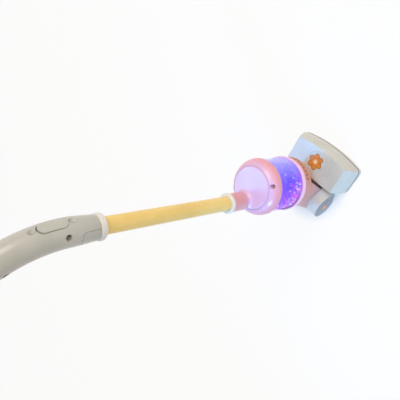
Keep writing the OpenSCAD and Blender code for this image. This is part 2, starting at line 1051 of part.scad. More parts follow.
module motor() {
    color(steel)
        in_frame()
            on_bin(collar_floor - motor_l)
                difference() {
                    union() {
                        cylinder(r = motor_r, h = motor_l);
                        cylinder(r = motor_nose_r, h = motor_l + plate_t);
                    }
                    translate([0, 0, motor_l + plate_t - shaft_bite])
                        cylinder(r = shaft_r + run_gap, h = shaft_bite + over);
                }
}

module fan_shaft() {
    low = plate_top - shaft_bite + move_gap;
    color(steel)
        in_frame()
            on_bin(low)
                cylinder(r = shaft_r, h = fan_base + fan_h - fan_disc_t - low);
}

// Hub, back disc and leaning blades
module fan_wheel() {
    blade_l = fan_r - fan_hub_r + over;
    color(white)
        in_frame()
            on_bin(fan_base)
                difference() {
                    union() {
                        cylinder(r = fan_hub_r, h = fan_h);
                        cylinder(r = fan_r, h = fan_disc_t);
                        intersection() {
                            for (i = [0:fan_blades - 1])
                                rotate(i * 360 / fan_blades)
                                    translate([fan_hub_r - over, 0, fan_disc_t - over])
                                        rotate(blade_sweep)
                                            cube([blade_l, blade_t, fan_h - fan_disc_t]);
                            cylinder(r = fan_r, h = fan_h);
                        }
                    }
                    translate([0, 0, -over])
                        cylinder(r = shaft_r + seat_gap / 4, h = fan_h - fan_disc_t + over + seat_gap);
                }
}

// Three cells, standing beside each other behind the door
module battery_cells() {
    nub_r = 1.9;
    nub_h = 0.8;
    color(dark)
        in_frame()
            leaned()
                for (y = cell_ys)
                    translate([cell_x, y, cell_bottom]) {
                        cylinder(d = cell_d, h = cell_l - nub_h);
                        cylinder(r = nub_r, h = cell_l);
                    }
}

// Plates at both ends of each cell
module battery_contacts() {
    color(brass)
        in_frame()
            leaned()
                for (y = cell_ys, z = [bay_floor, bay_top - contact_t])
                    translate([cell_x - contact_w / 2, y - contact_w / 2, z])
                        cube([contact_w, contact_w, contact_t]);
}

module battery_door() {
    grip_l_rib = door_w * door_rib_share;
    color(pink)
        in_frame()
            leaned()
                difference() {
                    union() {
                        cross_box(-hub_r, -hub_r + door_t, door_bottom, door_top, door_w);
                        for (i = [0:door_ribs - 1])
                            cross_box(-hub_r - door_rib, -hub_r + over, bay_floor + (2 * i + 1) * door_rib_pitch,
                                bay_floor + (2 * i + 2) * door_rib_pitch, grip_l_rib);
                    }
                    translate([-hub_r - over, 0, door_screw_z])
                        rotate([0, 90, 0])
                            cylinder(r = screw_r + seat_gap, h = door_t + 2 * over);
                }
}

module door_screw() {
    color(steel)
        in_frame()
            leaned()
                translate([-hub_r, 0, door_screw_z])
                    rotate([0, -90, 0])
                        screw(door_t + screw_bite - over);
}

// Hinge and yoke

module hinge_pin() {
    color(steel)
        in_frame()
            translate([0, 0, pivot_h])
                y_rod(pin_d / 2, -pin_end, pin_end);
}

// Root of an arm, widened by a gap: a neck through the head's rear wall onto a pedestal
module arm_root(gap) {
    wide = foot_w + 2 * gap;
    translate([arm_tip_x, -foot_y - wide / 2, foot_top - foot_h - gap])
        cube([head_rear + foot_l - arm_tip_x, wide, foot_h + 2 * gap]);
    translate([pedestal_x, -foot_y - wide / 2, foot_z])
        cube([head_rear + foot_l - pedestal_x, wide, foot_top - foot_z]);
}

// Raised block on top of an arm where it meets the head
module root_block() {
    translate([head_rear - move_gap - root_l / 2, -arm_in - root_inset, foot_top + root_up / 2 - root_corner])
        rotate([90, 0, 0])
            linear_extrude(arm_t - 2 * root_inset)
                round_rect(root_l, root_up, root_corner);
}

// Drop-shaped arm that stands on its round end and is rooted in the head
module yoke_arm(side) {
    color(grey)
        in_frame()
            on_side(side)
                difference() {
                    union() {
                        translate([0, -arm_in, pivot_h])
                            rotate([90, 0, 0])
                                linear_extrude(arm_t)
                                    drop_outline(pivot_h, [arm_tip_x, arm_tip_z], arm_tip_r);
                        arm_root(0);
                        root_block();
                    }
                    translate([0, 0, pivot_h]) {
                        y_rod(pin_d / 2 + seat_gap / 4, -arm_out - over, -arm_in + over);
                        y_rod(pivot_cap_d / 2 + seat_gap, -arm_out - over, -arm_out + pivot_cap_sink);
                    }
                    translate([foot_screw_x, -foot_y, 0])
                        cylinder(r = screw_r, h = foot_z + screw_bite);
                }
}

module yoke_arm_right() {
    yoke_arm(-1);
}

module yoke_arm_left() {
    yoke_arm(1);
}

// Round plate let into the arm's outer face
module pivot_cap(side) {
    color(mid_grey)
        in_frame()
            on_side(side)
                translate([0, -arm_out + pivot_cap_sink - seat_gap, pivot_h])
                    rotate([90, 0, 0])
                        round_ring(pivot_cap_d / 2, 0, pivot_cap_t, pivot_cap_t * cap_edge_share);
}

module pivot_cap_right() {
    pivot_cap(-1);
}

module pivot_cap_left() {
    pivot_cap(1);
}

module yoke_screws() {
    seat = screw_head_h + seat_gap;
    color(steel)
        in_frame()
            for (side = [-1, 1])
                translate([foot_screw_x, side * foot_y, seat])
                    rotate([180, 0, 0])
                        screw(screw_bite);
}

// Floor head

// Outline of the head in plan, taken in by an inset
module head_plan(inset) {
    corner = head_corner - inset;
    fan_y = corner_y * front_r / (corner_x - front_cx);
    intersection() {
        translate([front_cx, 0])
            circle(r = front_r - inset, $fn = 256);
        polygon([[corner_x, -corner_y], [front_x, -fan_y], [front_x, fan_y], [corner_x, corner_y]]);
    }
    translate([head_rear + inset, -corner_y])
        square([corner_x - head_rear - inset, 2 * corner_y]);
    translate([rear_corner_x, -half_w + inset])
        square([corner_x - rear_corner_x, head_w - 2 * inset]);
    for (x = [rear_corner_x, corner_x], side = [-1, 1])
        translate([x, side * corner_y])
            circle(r = corner);
}

// The cover's solid form, taken in by an inset
module cover_form(inset) {
    end_y = half_w - inset;
    intersection() {
        translate([0, 0, rim_h])
            linear_extrude(cover_h - inset)
                head_plan(inset);
        translate([front_cx, 0, rim_h])
            cylinder(r1 = front_r - inset, r2 = front_r - inset - front_run, h = cover_h, $fn = 256);
        translate([head_rear, 0, rim_h])
            rotate([90, 0, 90])
                linear_extrude(head_d)
                    polygon([
                        [-end_y, 0], [end_y, 0],
                        [end_y - end_run, cover_h], [-end_y + end_run, cover_h]
                    ]);
    }
}

module at_head_posts(z) {
    for (spot = head_posts)
        translate([spot[0], spot[1], z])
            children();
}

module head_cover() {
    color(grey)
        in_frame()
            difference() {
                union() {
                    difference() {
                        cover_form(0);
                        cover_form(head_wall);
                        translate([0, 0, rim_h - over])
                            linear_extrude(2 * over)
                                head_plan(head_wall);
                    }
                    intersection() {
                        at_head_posts(rim_h)
                            cylinder(r = post_r, h = cover_h);
                        cover_form(head_wall / 2);
                    }
                }
                translate([badge_x, 0, rim_h + cover_h - badge_sink])
                    cylinder(r = badge_d / 2 + seat_gap, h = badge_sink + over);
                at_head_posts(rim_h - over)
                    cylinder(r = screw_r, h = screw_bite + over);
                for (side = [-1, 1])
                    on_side(side)
                        arm_root(seat_gap);
            }
}

// Wheel well and its two axle cheeks, at the right-hand wheel
module wheel_well(r, w, h) {
    translate([wheel_x - r, -wheel_y - w / 2, -over])
        cube([2 * r, w, h + over]);
}

module head_sole() {
    mouth_z = mouth_roof_h + mouth_wall;
    well_r = wheel_d / 2 + 2 * move_gap;
    well_w = wheel_w + 2 * move_gap;
    color(grey)
        in_frame()
            difference() {
                union() {
                    difference() {
                        union() {
                            linear_extrude(sole_top)
                                head_plan(rim_lip);
                            translate([0, 0, sole_top - lip_h])
                                linear_extrude(lip_h)
                                    head_plan(0);
                        }
                        translate([0, 0, head_wall])
                            linear_extrude(rim_h)
                                head_plan(rim_lip + head_wall);
                    }
                    translate([mouth_x, 0, 0])
                        linear_extrude(mouth_z)
                            round_rect(mouth_d + 2 * mouth_wall, mouth_w + 2 * mouth_wall, 2 * mouth_wall);
                    at_head_posts(0)
                        cylinder(r = post_r + head_wall / 2, h = rim_h - 3 * seat_gap);
                    intersection() {
                        for (side = [-1, 1])
                            on_side(side)
                                wheel_well(axle_d * 2, well_w + 2 * wheel_cheek, axle_h + axle_d);
                        linear_extrude(rim_h)
                            head_plan(rim_lip + head_wall / 2);
                    }
                }
                translate([mouth_x, 0, -over])
                    linear_extrude(mouth_roof_h + over)
                        round_rect(mouth_d, mouth_w, mouth_wall);
                at_head_posts(-over) {
                    cylinder(r = sink_r, h = sole_sink_h + over);
                    cylinder(r = screw_r + seat_gap, h = rim_h + 2 * over);
                }
                for (side = [-1, 1])
                    on_side(side) {
                        wheel_well(well_r, well_w, rim_h);
                        arm_root(seat_gap);
                        translate([wheel_x, -wheel_y, axle_h])
                            y_rod(axle_d / 2 + seat_gap / 4, -axle_reach, axle_reach);
                        translate([foot_screw_x, -foot_y, -over])
                            cylinder(r = sink_r, h = screw_head_h + seat_gap + over);
                        translate([foot_screw_x, -foot_y, -over])
                            cylinder(r = screw_r + seat_gap, h = head_wall + 2 * over);
                    }
            }
}

module cover_badge() {
    color(grey)
        in_frame()
            translate([badge_x, 0, rim_h + cover_h - badge_sink + seat_gap / 2])
                round_ring(badge_d / 2, 0, badge_t, badge_t * cap_edge_share);
}

module head_screws() {
    color(steel)
        in_frame()
            at_head_posts(sole_sink_h)
                rotate([180, 0, 0])
                    screw(rim_h - sole_sink_h + screw_bite - over);
}

// Roller with a grooved tread
module wheel(side) {
    groove = wheel_w * groove_share;
    color(dark)
        in_frame()
            translate([wheel_x, side * wheel_y, axle_h])
                rotate([90, 0, 0])
                    translate([0, 0, -wheel_w / 2])
                        difference() {
                            round_ring(wheel_d / 2, axle_d / 2 + run_gap, wheel_w, wheel_w * wheel_edge_share);
                            translate([0, 0, (wheel_w - groove) / 2])
                                plain_ring(wheel_d, wheel_d / 2 - groove, groove);
                        }
}

module wheel_right() {
    wheel(-1);
}

module wheel_left() {
    wheel(1);
}

module wheel_axles() {
    color(steel)
        in_frame()
            for (side = [-1, 1])
                translate([wheel_x, side * wheel_y, axle_h])
                    y_rod(axle_d / 2, -axle_reach, axle_reach);
}

handle_shell_right();
handle_shell_left();
handle_screws();
handle_collar();
power_rocker();
rocker_pin();
switch_board();
power_switch();
release_tab_right();
release_tab_left();
wand_tube();
wire_harness();
neck_collar();
top_cap();
cap_screws();
led_board();
leds();
dust_bin();
bin_ring();
bin_grille();
foam_beads();
lower_housing();
motor_plate();
motor();
fan_shaft();
fan_wheel();
battery_cells();
battery_contacts();
battery_door();
door_screw();
hinge_pin();
yoke_arm_right();
yoke_arm_left();
pivot_cap_right();
pivot_cap_left();
yoke_screws();
head_cover();
head_sole();
cover_badge();
head_screws();
wheel_right();
wheel_left();
wheel_axles();
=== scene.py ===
"""Toy stick vacuum: finishes, beads, screws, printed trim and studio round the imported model."""
import math
import bpy
from mathutils import Matrix, Vector


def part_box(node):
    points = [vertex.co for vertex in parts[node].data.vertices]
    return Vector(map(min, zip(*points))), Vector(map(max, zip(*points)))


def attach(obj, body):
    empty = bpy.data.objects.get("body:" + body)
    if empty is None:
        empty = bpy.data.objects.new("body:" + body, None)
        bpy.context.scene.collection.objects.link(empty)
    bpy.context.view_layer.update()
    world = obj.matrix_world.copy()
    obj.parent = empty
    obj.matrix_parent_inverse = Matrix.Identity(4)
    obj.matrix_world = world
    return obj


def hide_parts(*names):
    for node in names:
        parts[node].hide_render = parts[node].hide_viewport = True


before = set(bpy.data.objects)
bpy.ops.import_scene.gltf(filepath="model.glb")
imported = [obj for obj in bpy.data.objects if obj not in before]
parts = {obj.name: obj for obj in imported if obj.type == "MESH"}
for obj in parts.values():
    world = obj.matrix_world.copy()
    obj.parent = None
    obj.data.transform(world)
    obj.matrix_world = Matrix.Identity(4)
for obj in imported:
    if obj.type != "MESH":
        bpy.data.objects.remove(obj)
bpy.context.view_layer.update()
MM = 0.001

# Camera, fitted to the photograph and given in the part's frame
CAMERA_PLACE_MM = (289.7, -264.3, 633.4)
CAMERA_RIGHT = (0.37382, -0.59115, -0.71470)
CAMERA_UP = (0.77043, 0.62696, -0.11561)
SENSOR_MM = 36
LENS_MM = 37.38


def set_camera():
    data = bpy.data.cameras.new("photo_camera")
    data.sensor_width = SENSOR_MM
    data.lens = LENS_MM
    camera = bpy.data.objects.new("photo_camera", data)
    bpy.context.collection.objects.link(camera)
    right = Vector(CAMERA_RIGHT).normalized()
    back = right.cross(Vector(CAMERA_UP)).normalized()
    up = back.cross(right)
    turn = Matrix((right, up, back)).transposed().to_4x4()
    camera.matrix_world = Matrix.Translation(Vector(CAMERA_PLACE_MM) * MM) @ turn
    bpy.context.scene.camera = camera


# Small tools


def linear(colour):
    """Linear RGBA of an sRGB hex colour."""
    channels = [int(colour[i:i + 2], 16) / 255 for i in (1, 3, 5)]
    curve = [c / 12.92 if c <= 0.04045 else ((c + 0.055) / 1.055) ** 2.4 for c in channels]
    return (*curve, 1.0)


def socket(sockets, name):
    """The socket in use under a name, where a node keeps one for each kind of data."""
    return next(s for s in sockets if s.name == name and s.enabled)


def add(tree, kind, settings=None, links=None):
    """Adds a node. A setting goes to the input of that name, or else to the node's own option of that name,
    and a link brings another node's output to an input."""
    node = tree.nodes.new(kind)
    options = {k: v for k, v in (settings or {}).items() if hasattr(node, k) and k not in node.inputs}
    for name, value in options.items():
        setattr(node, name, value)
    for name, value in (settings or {}).items():
        if name not in options:
            socket(node.inputs, name).default_value = value
    for name, source in (links or {}).items():
        tree.links.new(source, socket(node.inputs, name))
    return node


def out(node, name):
    """A node's output of a name."""
    return socket(node.outputs, name)


def new_material(name):
    """An empty material, its tree and its output."""
    material = bpy.data.materials.new(name)
    material.use_nodes = True
    tree = material.node_tree
    tree.nodes.clear()
    return material, tree, add(tree, "ShaderNodeOutputMaterial")


# Materials

# The heap of beads: its side, its reach up the wall, its lean, and the levels where it is full and bare
HEAP_SIDE = (0.15, -0.99, 0.0)
BEAD_REACH_MM = 46
HEAP_LEAN = 0.8
HEAP_FULL = -0.75
HEAP_BARE = -0.15


def fill_ramp(node, stops):
    """Gives a colour ramp its stops, as (place, hex colour) pairs in rising order."""
    elements = node.color_ramp.elements
    for at, _ in stops[1:-1]:
        elements.new(at)
    for element, (at, colour) in zip(elements, stops):
        element.position = at
        element.color = linear(colour)


def moulded(name, colours, drift_tint, roughness=0.38, coat=0.0, painted_flank_shade=None, painted_gap_shade=None, dips=()):
    """Moulded plastic, and what is coated much like it: a broad drift of tone, a fine grain and edges that
    catch the light. Colours are one hex value, or (height in mm, hex value) stops. A painted flank shade, as
    (mm, hex value), is painted shade on what lies farther than that to either side, and a painted gap shade,
    as (mm, mm, hex value), is a band of painted shade between two heights. Dips are places in mm where a
    finger dip of the solid is shaded deeper. The grain is about twice as coarse as the real one so that it
    shows."""
    drift_mm = 34
    grain_mm = 1.1
    grain_depth_mm = 0.02
    edge_mm = 0.5
    dip_radius_mm = 5.2
    dip_depth_mm = 1.6
    material, tree, output = new_material(name)
    place = out(add(tree, "ShaderNodeTexCoord"), "Object")
    drift = add(tree, "ShaderNodeTexNoise", {"Scale": 1 / (drift_mm * MM), "Detail": 3.0},
                {"Vector": place})
    grain = add(tree, "ShaderNodeTexNoise", {"Scale": 1 / (grain_mm * MM), "Detail": 2.0},
                {"Vector": place})
    tone = add(tree, "ShaderNodeMapRange", {"From Min": 0.35, "From Max": 0.65},
               {"Value": out(drift, "Fac")})
    paint = add(tree, "ShaderNodeMix",
                {"data_type": "RGBA", "blend_type": "MULTIPLY", "B": linear(drift_tint)},
                {"Factor": out(tone, "Result")})
    if isinstance(colours, str):
        socket(paint.inputs, "A").default_value = linear(colours)
    else:
        low_mm, high_mm = colours[0][0], colours[-1][0]
        height = add(tree, "ShaderNodeSeparateXYZ", None, {"Vector": place})
        rise = add(tree, "ShaderNodeMapRange", {"From Min": low_mm * MM, "From Max": high_mm * MM},
                   {"Value": out(height, "Z")})
        bands = add(tree, "ShaderNodeValToRGB", None, {"Fac": out(rise, "Result")})
        fill_ramp(bands, [((mm - low_mm) / (high_mm - low_mm), colour) for mm, colour in colours])
        tree.links.new(out(bands, "Color"), socket(paint.inputs, "A"))
    # Painted shade on the faces that lie farther out than a distance to either side
    if painted_flank_shade:
        shaded_flank_mm, flank_shade_colour = painted_flank_shade
        width = add(tree, "ShaderNodeSeparateXYZ", None, {"Vector": place})
        reach = add(tree, "ShaderNodeMath", {"operation": "ABSOLUTE"}, {"Value": out(width, "Y")})
        beyond = add(tree, "ShaderNodeMath", {"operation": "GREATER_THAN"}, {"Value": out(reach, "Value")})
        beyond.inputs[1].default_value = shaded_flank_mm * MM
        paint = add(tree, "ShaderNodeMix", {"data_type": "RGBA", "B": linear(flank_shade_colour)},
                    {"Factor": out(beyond, "Value"), "A": out(paint, "Result")})
    # A band of painted shade between two heights, for the shadow in a gap between parts
    if painted_gap_shade:
        low_mm, high_mm, gap_shade_colour = painted_gap_shade
        height = add(tree, "ShaderNodeSeparateXYZ", None, {"Vector": place})
        within = add(tree, "ShaderNodeMath", {"operation": "COMPARE"}, {"Value": out(height, "Z")})
        within.inputs[1].default_value = (low_mm + high_mm) / 2 * MM
        within.inputs[2].default_value = (high_mm - low_mm) / 2 * MM
        paint = add(tree, "ShaderNodeMix", {"data_type": "RGBA", "B": linear(gap_shade_colour)},
                    {"Factor": out(within, "Value"), "A": out(paint, "Result")})
    sheen = add(tree, "ShaderNodeMapRange",
                {"To Min": roughness - 0.05, "To Max": roughness + 0.07}, {"Value": out(grain, "Fac")})
    edge = add(tree, "ShaderNodeBevel", {"samples": 4, "Radius": edge_mm * MM})
    for dip in dips:
        away = add(tree, "ShaderNodeVectorMath", {"operation": "DISTANCE"}, {"Vector": place})
        away.inputs[1].default_value = [c * MM for c in dip]
        bowl = add(tree, "ShaderNodeMapRange",
                   {"interpolation_type": "SMOOTHSTEP", "From Max": dip_radius_mm * MM},
                   {"Value": out(away, "Value")})
        edge = add(tree, "ShaderNodeBump", {"Distance": dip_depth_mm * MM},
                   {"Height": out(bowl, "Result"), "Normal": out(edge, "Normal")})
    bump = add(tree, "ShaderNodeBump", {"Strength": 0.25, "Distance": grain_depth_mm * MM},
               {"Height": out(grain, "Fac"), "Normal": out(edge, "Normal")})
    skin = add(tree, "ShaderNodeBsdfPrincipled", {"IOR": 1.53, "Coat Weight": coat, "Coat Roughness": 0.15},
               {"Base Color": out(paint, "Result"), "Roughness": out(sheen, "Result"),
                "Normal": out(bump, "Normal")})
    tree.links.new(out(skin, "BSDF"), output.inputs["Surface"])
    return material


def cloudy_metal(name, colour, cloud_colour, roughness=0.3):
    """Metal from a plating or finishing bath: its colour and its gloss both vary in small clouds."""
    cloud_mm = 2.5
    material, tree, output = new_material(name)
    place = out(add(tree, "ShaderNodeTexCoord"), "Object")
    cloud = add(tree, "ShaderNodeTexNoise", {"Scale": 1 / (cloud_mm * MM), "Detail": 4.0},
                {"Vector": place})
    paint = add(tree, "ShaderNodeMix",
                {"data_type": "RGBA", "A": linear(colour), "B": linear(cloud_colour)},
                {"Factor": out(cloud, "Fac")})
    sheen = add(tree, "ShaderNodeMapRange",
                {"To Min": roughness - 0.08, "To Max": roughness + 0.12}, {"Value": out(cloud, "Fac")})
    skin = add(tree, "ShaderNodeBsdfPrincipled", {"Metallic": 1.0},
               {"Base Color": out(paint, "Result"), "Roughness": out(sheen, "Result")})
    tree.links.new(out(skin, "BSDF"), output.inputs["Surface"])
    return material


def heap_fade(tree, place, radius, floor):
    """Nought in the heap of beads and one away from it, for a place measured from the bin's middle."""
    height = add(tree, "ShaderNodeSeparateXYZ", None, {"Vector": place})
    level = add(tree, "ShaderNodeMapRange",
                {"From Min": floor, "From Max": floor + BEAD_REACH_MM * MM, "clamp": False},
                {"Value": out(height, "Z")})
    side = add(tree, "ShaderNodeVectorMath", {"operation": "DOT_PRODUCT"}, {"Vector": place})
    side.inputs[1].default_value = [HEAP_LEAN * s / radius for s in HEAP_SIDE]
    slope = add(tree, "ShaderNodeMath", {"operation": "SUBTRACT"}, {"Value": out(level, "Result")})
    tree.links.new(out(side, "Value"), slope.inputs[1])
    return out(add(tree, "ShaderNodeMapRange",
                   {"interpolation_type": "SMOOTHSTEP", "From Min": HEAP_FULL, "From Max": HEAP_BARE},
                   {"Value": out(slope, "Value")}), "Result")


def painted_glow_styrene(name):
    """Clear polystyrene with a painted glow for the coloured light inside: pale blue at the front left, deep
    blue in the middle, violet towards the back right. It is clearer in front of the heap of beads, and
    clearest, with no painted glow, along the strip at the back right that the lamps don't reach. Lengths
    across the bin are shares of its radius."""
    light_way = (0.78, 0.62, 0)
    cloud_mm = 22
    cloud_share = 0.9
    violet_end, blue_end = -0.55, 1.45
    unlit_end, lit_end = -0.97, -0.8
    # Strength of the painted glow and thickness of the veil: in the unlit strip, before the heap, and
    # elsewhere
    strengths = {"Emission Strength": (0.0, 0.3, 0.8), "Alpha": (0.12, 0.16, 0.5)}
    material, tree, output = new_material(name)
    low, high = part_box("dust_bin")
    middle = (low + high) / 2
    radius = (high.x - low.x) / 2
    place = add(tree, "ShaderNodeTexCoord")
    centred = add(tree, "ShaderNodeMapping", {"Location": -middle}, {"Vector": out(place, "Object")})
    across = add(tree, "ShaderNodeVectorMath", {"operation": "DOT_PRODUCT"},
                 {"Vector": out(centred, "Vector")})
    across.inputs[1].default_value = light_way
    cloud = add(tree, "ShaderNodeTexNoise", {"Scale": 1 / (cloud_mm * MM), "Detail": 2.0, "Roughness": 0.6},
                {"Vector": out(place, "Object")})
    stir = add(tree, "ShaderNodeMath", {"operation": "MULTIPLY_ADD"}, {"Value": out(cloud, "Fac")})
    stir.inputs[1].default_value = cloud_share * radius
    tree.links.new(out(across, "Value"), stir.inputs[2])
    band = add(tree, "ShaderNodeMapRange", {"From Min": violet_end * radius, "From Max": blue_end * radius},
               {"Value": out(stir, "Value")})
    glow = add(tree, "ShaderNodeValToRGB", None, {"Fac": out(band, "Result")})
    fill_ramp(glow, [(0.0, "#A03CC8"), (0.2, "#7A28E8"), (0.5, "#4A2CF8"), (0.75, "#6A60FA"),
                     (1.0, "#9896FA")])
    heap = heap_fade(tree, out(centred, "Vector"), radius, low.z - middle.z)
    skin = add(tree, "ShaderNodeBsdfPrincipled", {"IOR": 1.59, "Roughness": 0.06},
               {"Base Color": out(glow, "Color"), "Emission Color": out(glow, "Color")})
    for label, (unlit, heaped, lit) in strengths.items():
        most = add(tree, "ShaderNodeMapRange", {"To Min": heaped, "To Max": lit}, {"Value": heap})
        share = add(tree, "ShaderNodeMapRange",
                    {"From Min": unlit_end * radius, "From Max": lit_end * radius, "To Min": unlit},
                    {"Value": out(across, "Value"), "To Max": out(most, "Result")})
        tree.links.new(out(share, "Result"), socket(skin.inputs, label))
    tree.links.new(out(skin, "BSDF"), output.inputs["Surface"])
    return material


def lamp_lens(name):
    """Water-clear epoxy of a lit lamp: nearly white face on, and violet towards its rim."""
    material, tree, output = new_material(name)
    facing = add(tree, "ShaderNodeLayerWeight", {"Blend": 0.4})
    light = add(tree, "ShaderNodeMix",
                {"data_type": "RGBA", "A": linear("#F2EEFF"), "B": linear("#7C5CFF")},
                {"Factor": out(facing, "Facing")})
    skin = add(tree, "ShaderNodeBsdfPrincipled", {"IOR": 1.5, "Roughness": 0.1, "Emission Strength": 3.0},
               {"Base Color": out(light, "Result"), "Emission Color": out(light, "Result")})
    tree.links.new(out(skin, "BSDF"), output.inputs["Surface"])
    return material


# The beads' random tint, which their tree stores and their material reads
BEAD_TINT = "bead_tint"


def bead_foam(name):
    """Expanded polystyrene beads in four colours, with the dimples of their cells and a painted glow."""
    cell_mm = 0.7
    dimple_mm = 0.1
    material, tree, output = new_material(name)
    tint = add(tree, "ShaderNodeAttribute", {"attribute_name": BEAD_TINT})
    ramp = add(tree, "ShaderNodeValToRGB", None, {"Fac": out(tint, "Fac")})
    ramp.color_ramp.interpolation = "CONSTANT"
    fill_ramp(ramp, [(0.0, "#FA7FB0"), (0.3, "#F58232"), (0.56, "#FBD04E"), (0.76, "#FFF8F2")])
    place = out(add(tree, "ShaderNodeTexCoord"), "Object")
    cells = add(tree, "ShaderNodeTexVoronoi", {"Scale": 1 / (cell_mm * MM)}, {"Vector": place})
    bump = add(tree, "ShaderNodeBump", {"Strength": 0.4, "Distance": dimple_mm * MM},
               {"Height": out(cells, "Distance")})
    # The emission is a painted glow: the beads are no lamps, and it stands for the lamps' light on them
    skin = add(tree, "ShaderNodeBsdfPrincipled",
               {"Roughness": 0.7, "IOR": 1.4, "Emission Strength": 0.6},
               {"Base Color": out(ramp, "Color"), "Emission Color": out(ramp, "Color"),
                "Normal": out(bump, "Normal")})
    tree.links.new(out(skin, "BSDF"), output.inputs["Surface"])
    return material


def printed_film(name, colour, mottle_colour):
    """Ink on a thin vinyl film, with the fine mottling of a print."""
    mottle_mm = 1.6
    material, tree, output = new_material(name)
    place = out(add(tree, "ShaderNodeTexCoord"), "Object")
    mottle = add(tree, "ShaderNodeTexNoise", {"Scale": 1 / (mottle_mm * MM), "Detail": 3.0},
                 {"Vector": place})
    paint = add(tree, "ShaderNodeMix",
                {"data_type": "RGBA", "A": linear(colour), "B": linear(mottle_colour)},
                {"Factor": out(mottle, "Fac")})
    skin = add(tree, "ShaderNodeBsdfPrincipled", {"IOR": 1.5, "Roughness": 0.32},
               {"Base Color": out(paint, "Result")})
    tree.links.new(out(skin, "BSDF"), output.inputs["Surface"])
    return material


# ABS from a polished mould: a soft gloss over warm grey, with the handle's finger dips in deeper shade
WARM_GREY = moulded("abs_warm_grey", "#BFBBB0", "#F3F2F0", 0.3, 0.3,
                    dips=[(13.4, 0, 485.0), (19.8, 0, 447.0)])
# The same ABS with more polish, so the head mirrors the lamps, and a band of painted shade where cover and
# sole meet, for the shadow in the gap
HEAD_GREY = moulded("abs_warm_grey_head", "#D0CBBD", "#F3F2F0", 0.26, 0.5, painted_gap_shade=(8.5, 10.7, "#5C5854"))
# The same ABS, pale along the arms' edges, with painted shade making their flat outer faces darker
ARM_GREY = moulded("abs_warm_grey_arm", "#E0DED8", "#F3F2F0", 0.3, 0.3, painted_flank_shade=(46.1, "#7E7C7A"))
# ABS from a textured mould: an even grey with hardly any gloss
MID_GREY = moulded("abs_mid_grey", "#939291", "#EEEEEE", 0.42)
# ABS from a smooth mould: an even, satin cream
CREAM = moulded("abs_cream", "#E8E3DA", "#F4F3F0", 0.35)
# Extruded PVC: smooth along its length, with a thin gloss
YELLOW = moulded("pvc_yellow_tube", "#F5D27A", "#F7F3EA", 0.32, 0.2)
# Rose ABS with a soft gloss. Its colours by height are partly painted light: painted lilac light on the
# disc, and painted salmon shade low on the shoulder and up the neck
CAP_PINK = moulded("abs_rose_pink_cap",
                   [(161, "#E79C92"), (167, "#ECA3A8"), (173, "#F2B4CC"), (178, "#E6C4EA"),
                    (180, "#E6C4EA"), (188, "#E9A9AC"), (208, "#E5A09C")],
                   "#F7F1F3", 0.3, 0.3)
# Dusty pink ABS: satin, and paler towards the hinge
HOUSING_PINK = moulded("abs_dusty_pink", [(30, "#DCA69C"), (60, "#D6937E"), (104, "#CC8878")],
                       "#F4EFEF", 0.36, 0.15)
# Pale pink ABS: light and clean, with a soft gloss
PALE_PINK = moulded("abs_pale_pink", "#F8C4DA", "#F8F1F6", 0.3, 0.2)
# White ABS of the inner works: plain and satin
WHITE = moulded("abs_white", "#EFEFEF", "#F5F5F6", 0.4)
# Charcoal ABS of rollers and switch: dark and dull
DARK = moulded("abs_charcoal", "#34343A", "#D8D8DC", 0.45)
# Glass-epoxy board under lacquer: an even, satin green
BOARD_GREEN = moulded("epoxy_board_green", "#2B6B45", "#DDEEE2", 0.4)
# Film shrunk tight round the cells: nearly black and shiny
CELL_SLEEVE = moulded("shrink_sleeve_black", "#2A2A30", "#D8D8DC", 0.25)
# Soft PVC of the wires: a dull red-brown
WIRE = moulded("pvc_wire_sleeve", "#3A2224", "#DCD4D4", 0.45)
# Zinc-plated steel: bright and slightly clouded
STEEL = cloudy_metal("zinc_plated_steel", "#C9CCD0", "#AEB2B8")
# Steel painted dark and dull: painted shade, so that the handle's screw holes look dark like deep holes in
# shadow
HOLE_SHADE_STEEL = cloudy_metal("steel_painted_hole_shade", "#3C3C40", "#2A2A2E", 0.4)
# Rolled brass: warm and bright
BRASS = cloudy_metal("spring_brass", "#D3B068", "#B89650")
# Polished clear styrene with a painted glow for the coloured light inside; the beads show through
CLEAR = painted_glow_styrene("clear_styrene_painted_glow")
# Cast epoxy of the lamps: small bright domes
LENS = lamp_lens("lamp_epoxy_lit")
# Expanded polystyrene: matt, dimpled beads with a painted glow for the lamps' light on them
FOAM = bead_foam("foam_beads_mixed")
# Ink on vinyl film: flat colours with a faint mottle
INK_BROWN = printed_film("ink_brown_on_film", "#9A5220", "#8A4719")
INK_ORANGE = printed_film("ink_orange_on_film", "#E88E3C", "#DE7F2C")
INK_CREAM = printed_film("ink_cream_on_film", "#F6D6A6", "#F0C98F")

FINISHES = {
    WARM_GREY: ["handle_shell_right", "handle_shell_left", "power_rocker", "release_tab_right",
                "release_tab_left"],
    HEAD_GREY: ["head_cover", "head_sole", "cover_badge"],
    ARM_GREY: ["yoke_arm_right", "yoke_arm_left"],
    MID_GREY: ["pivot_cap_right", "pivot_cap_left"],
    CREAM: ["handle_collar", "neck_collar"],
    YELLOW: ["wand_tube"],
    CAP_PINK: ["top_cap"],
    HOUSING_PINK: ["lower_housing", "battery_door"],
    PALE_PINK: ["bin_ring", "bin_grille"],
    WHITE: ["motor_plate", "fan_wheel"],
    DARK: ["power_switch", "wheel_right", "wheel_left"],
    BOARD_GREEN: ["switch_board", "led_board"],
    CELL_SLEEVE: ["battery_cells"],
    WIRE: ["wire_harness"],
    STEEL: ["handle_screws", "rocker_pin", "cap_screws", "motor", "fan_shaft", "door_screw", "hinge_pin",
            "yoke_screws", "head_screws", "wheel_axles"],
    BRASS: ["battery_contacts"],
    CLEAR: ["dust_bin"],
    LENS: ["leds"],
    FOAM: ["foam_beads"],
}


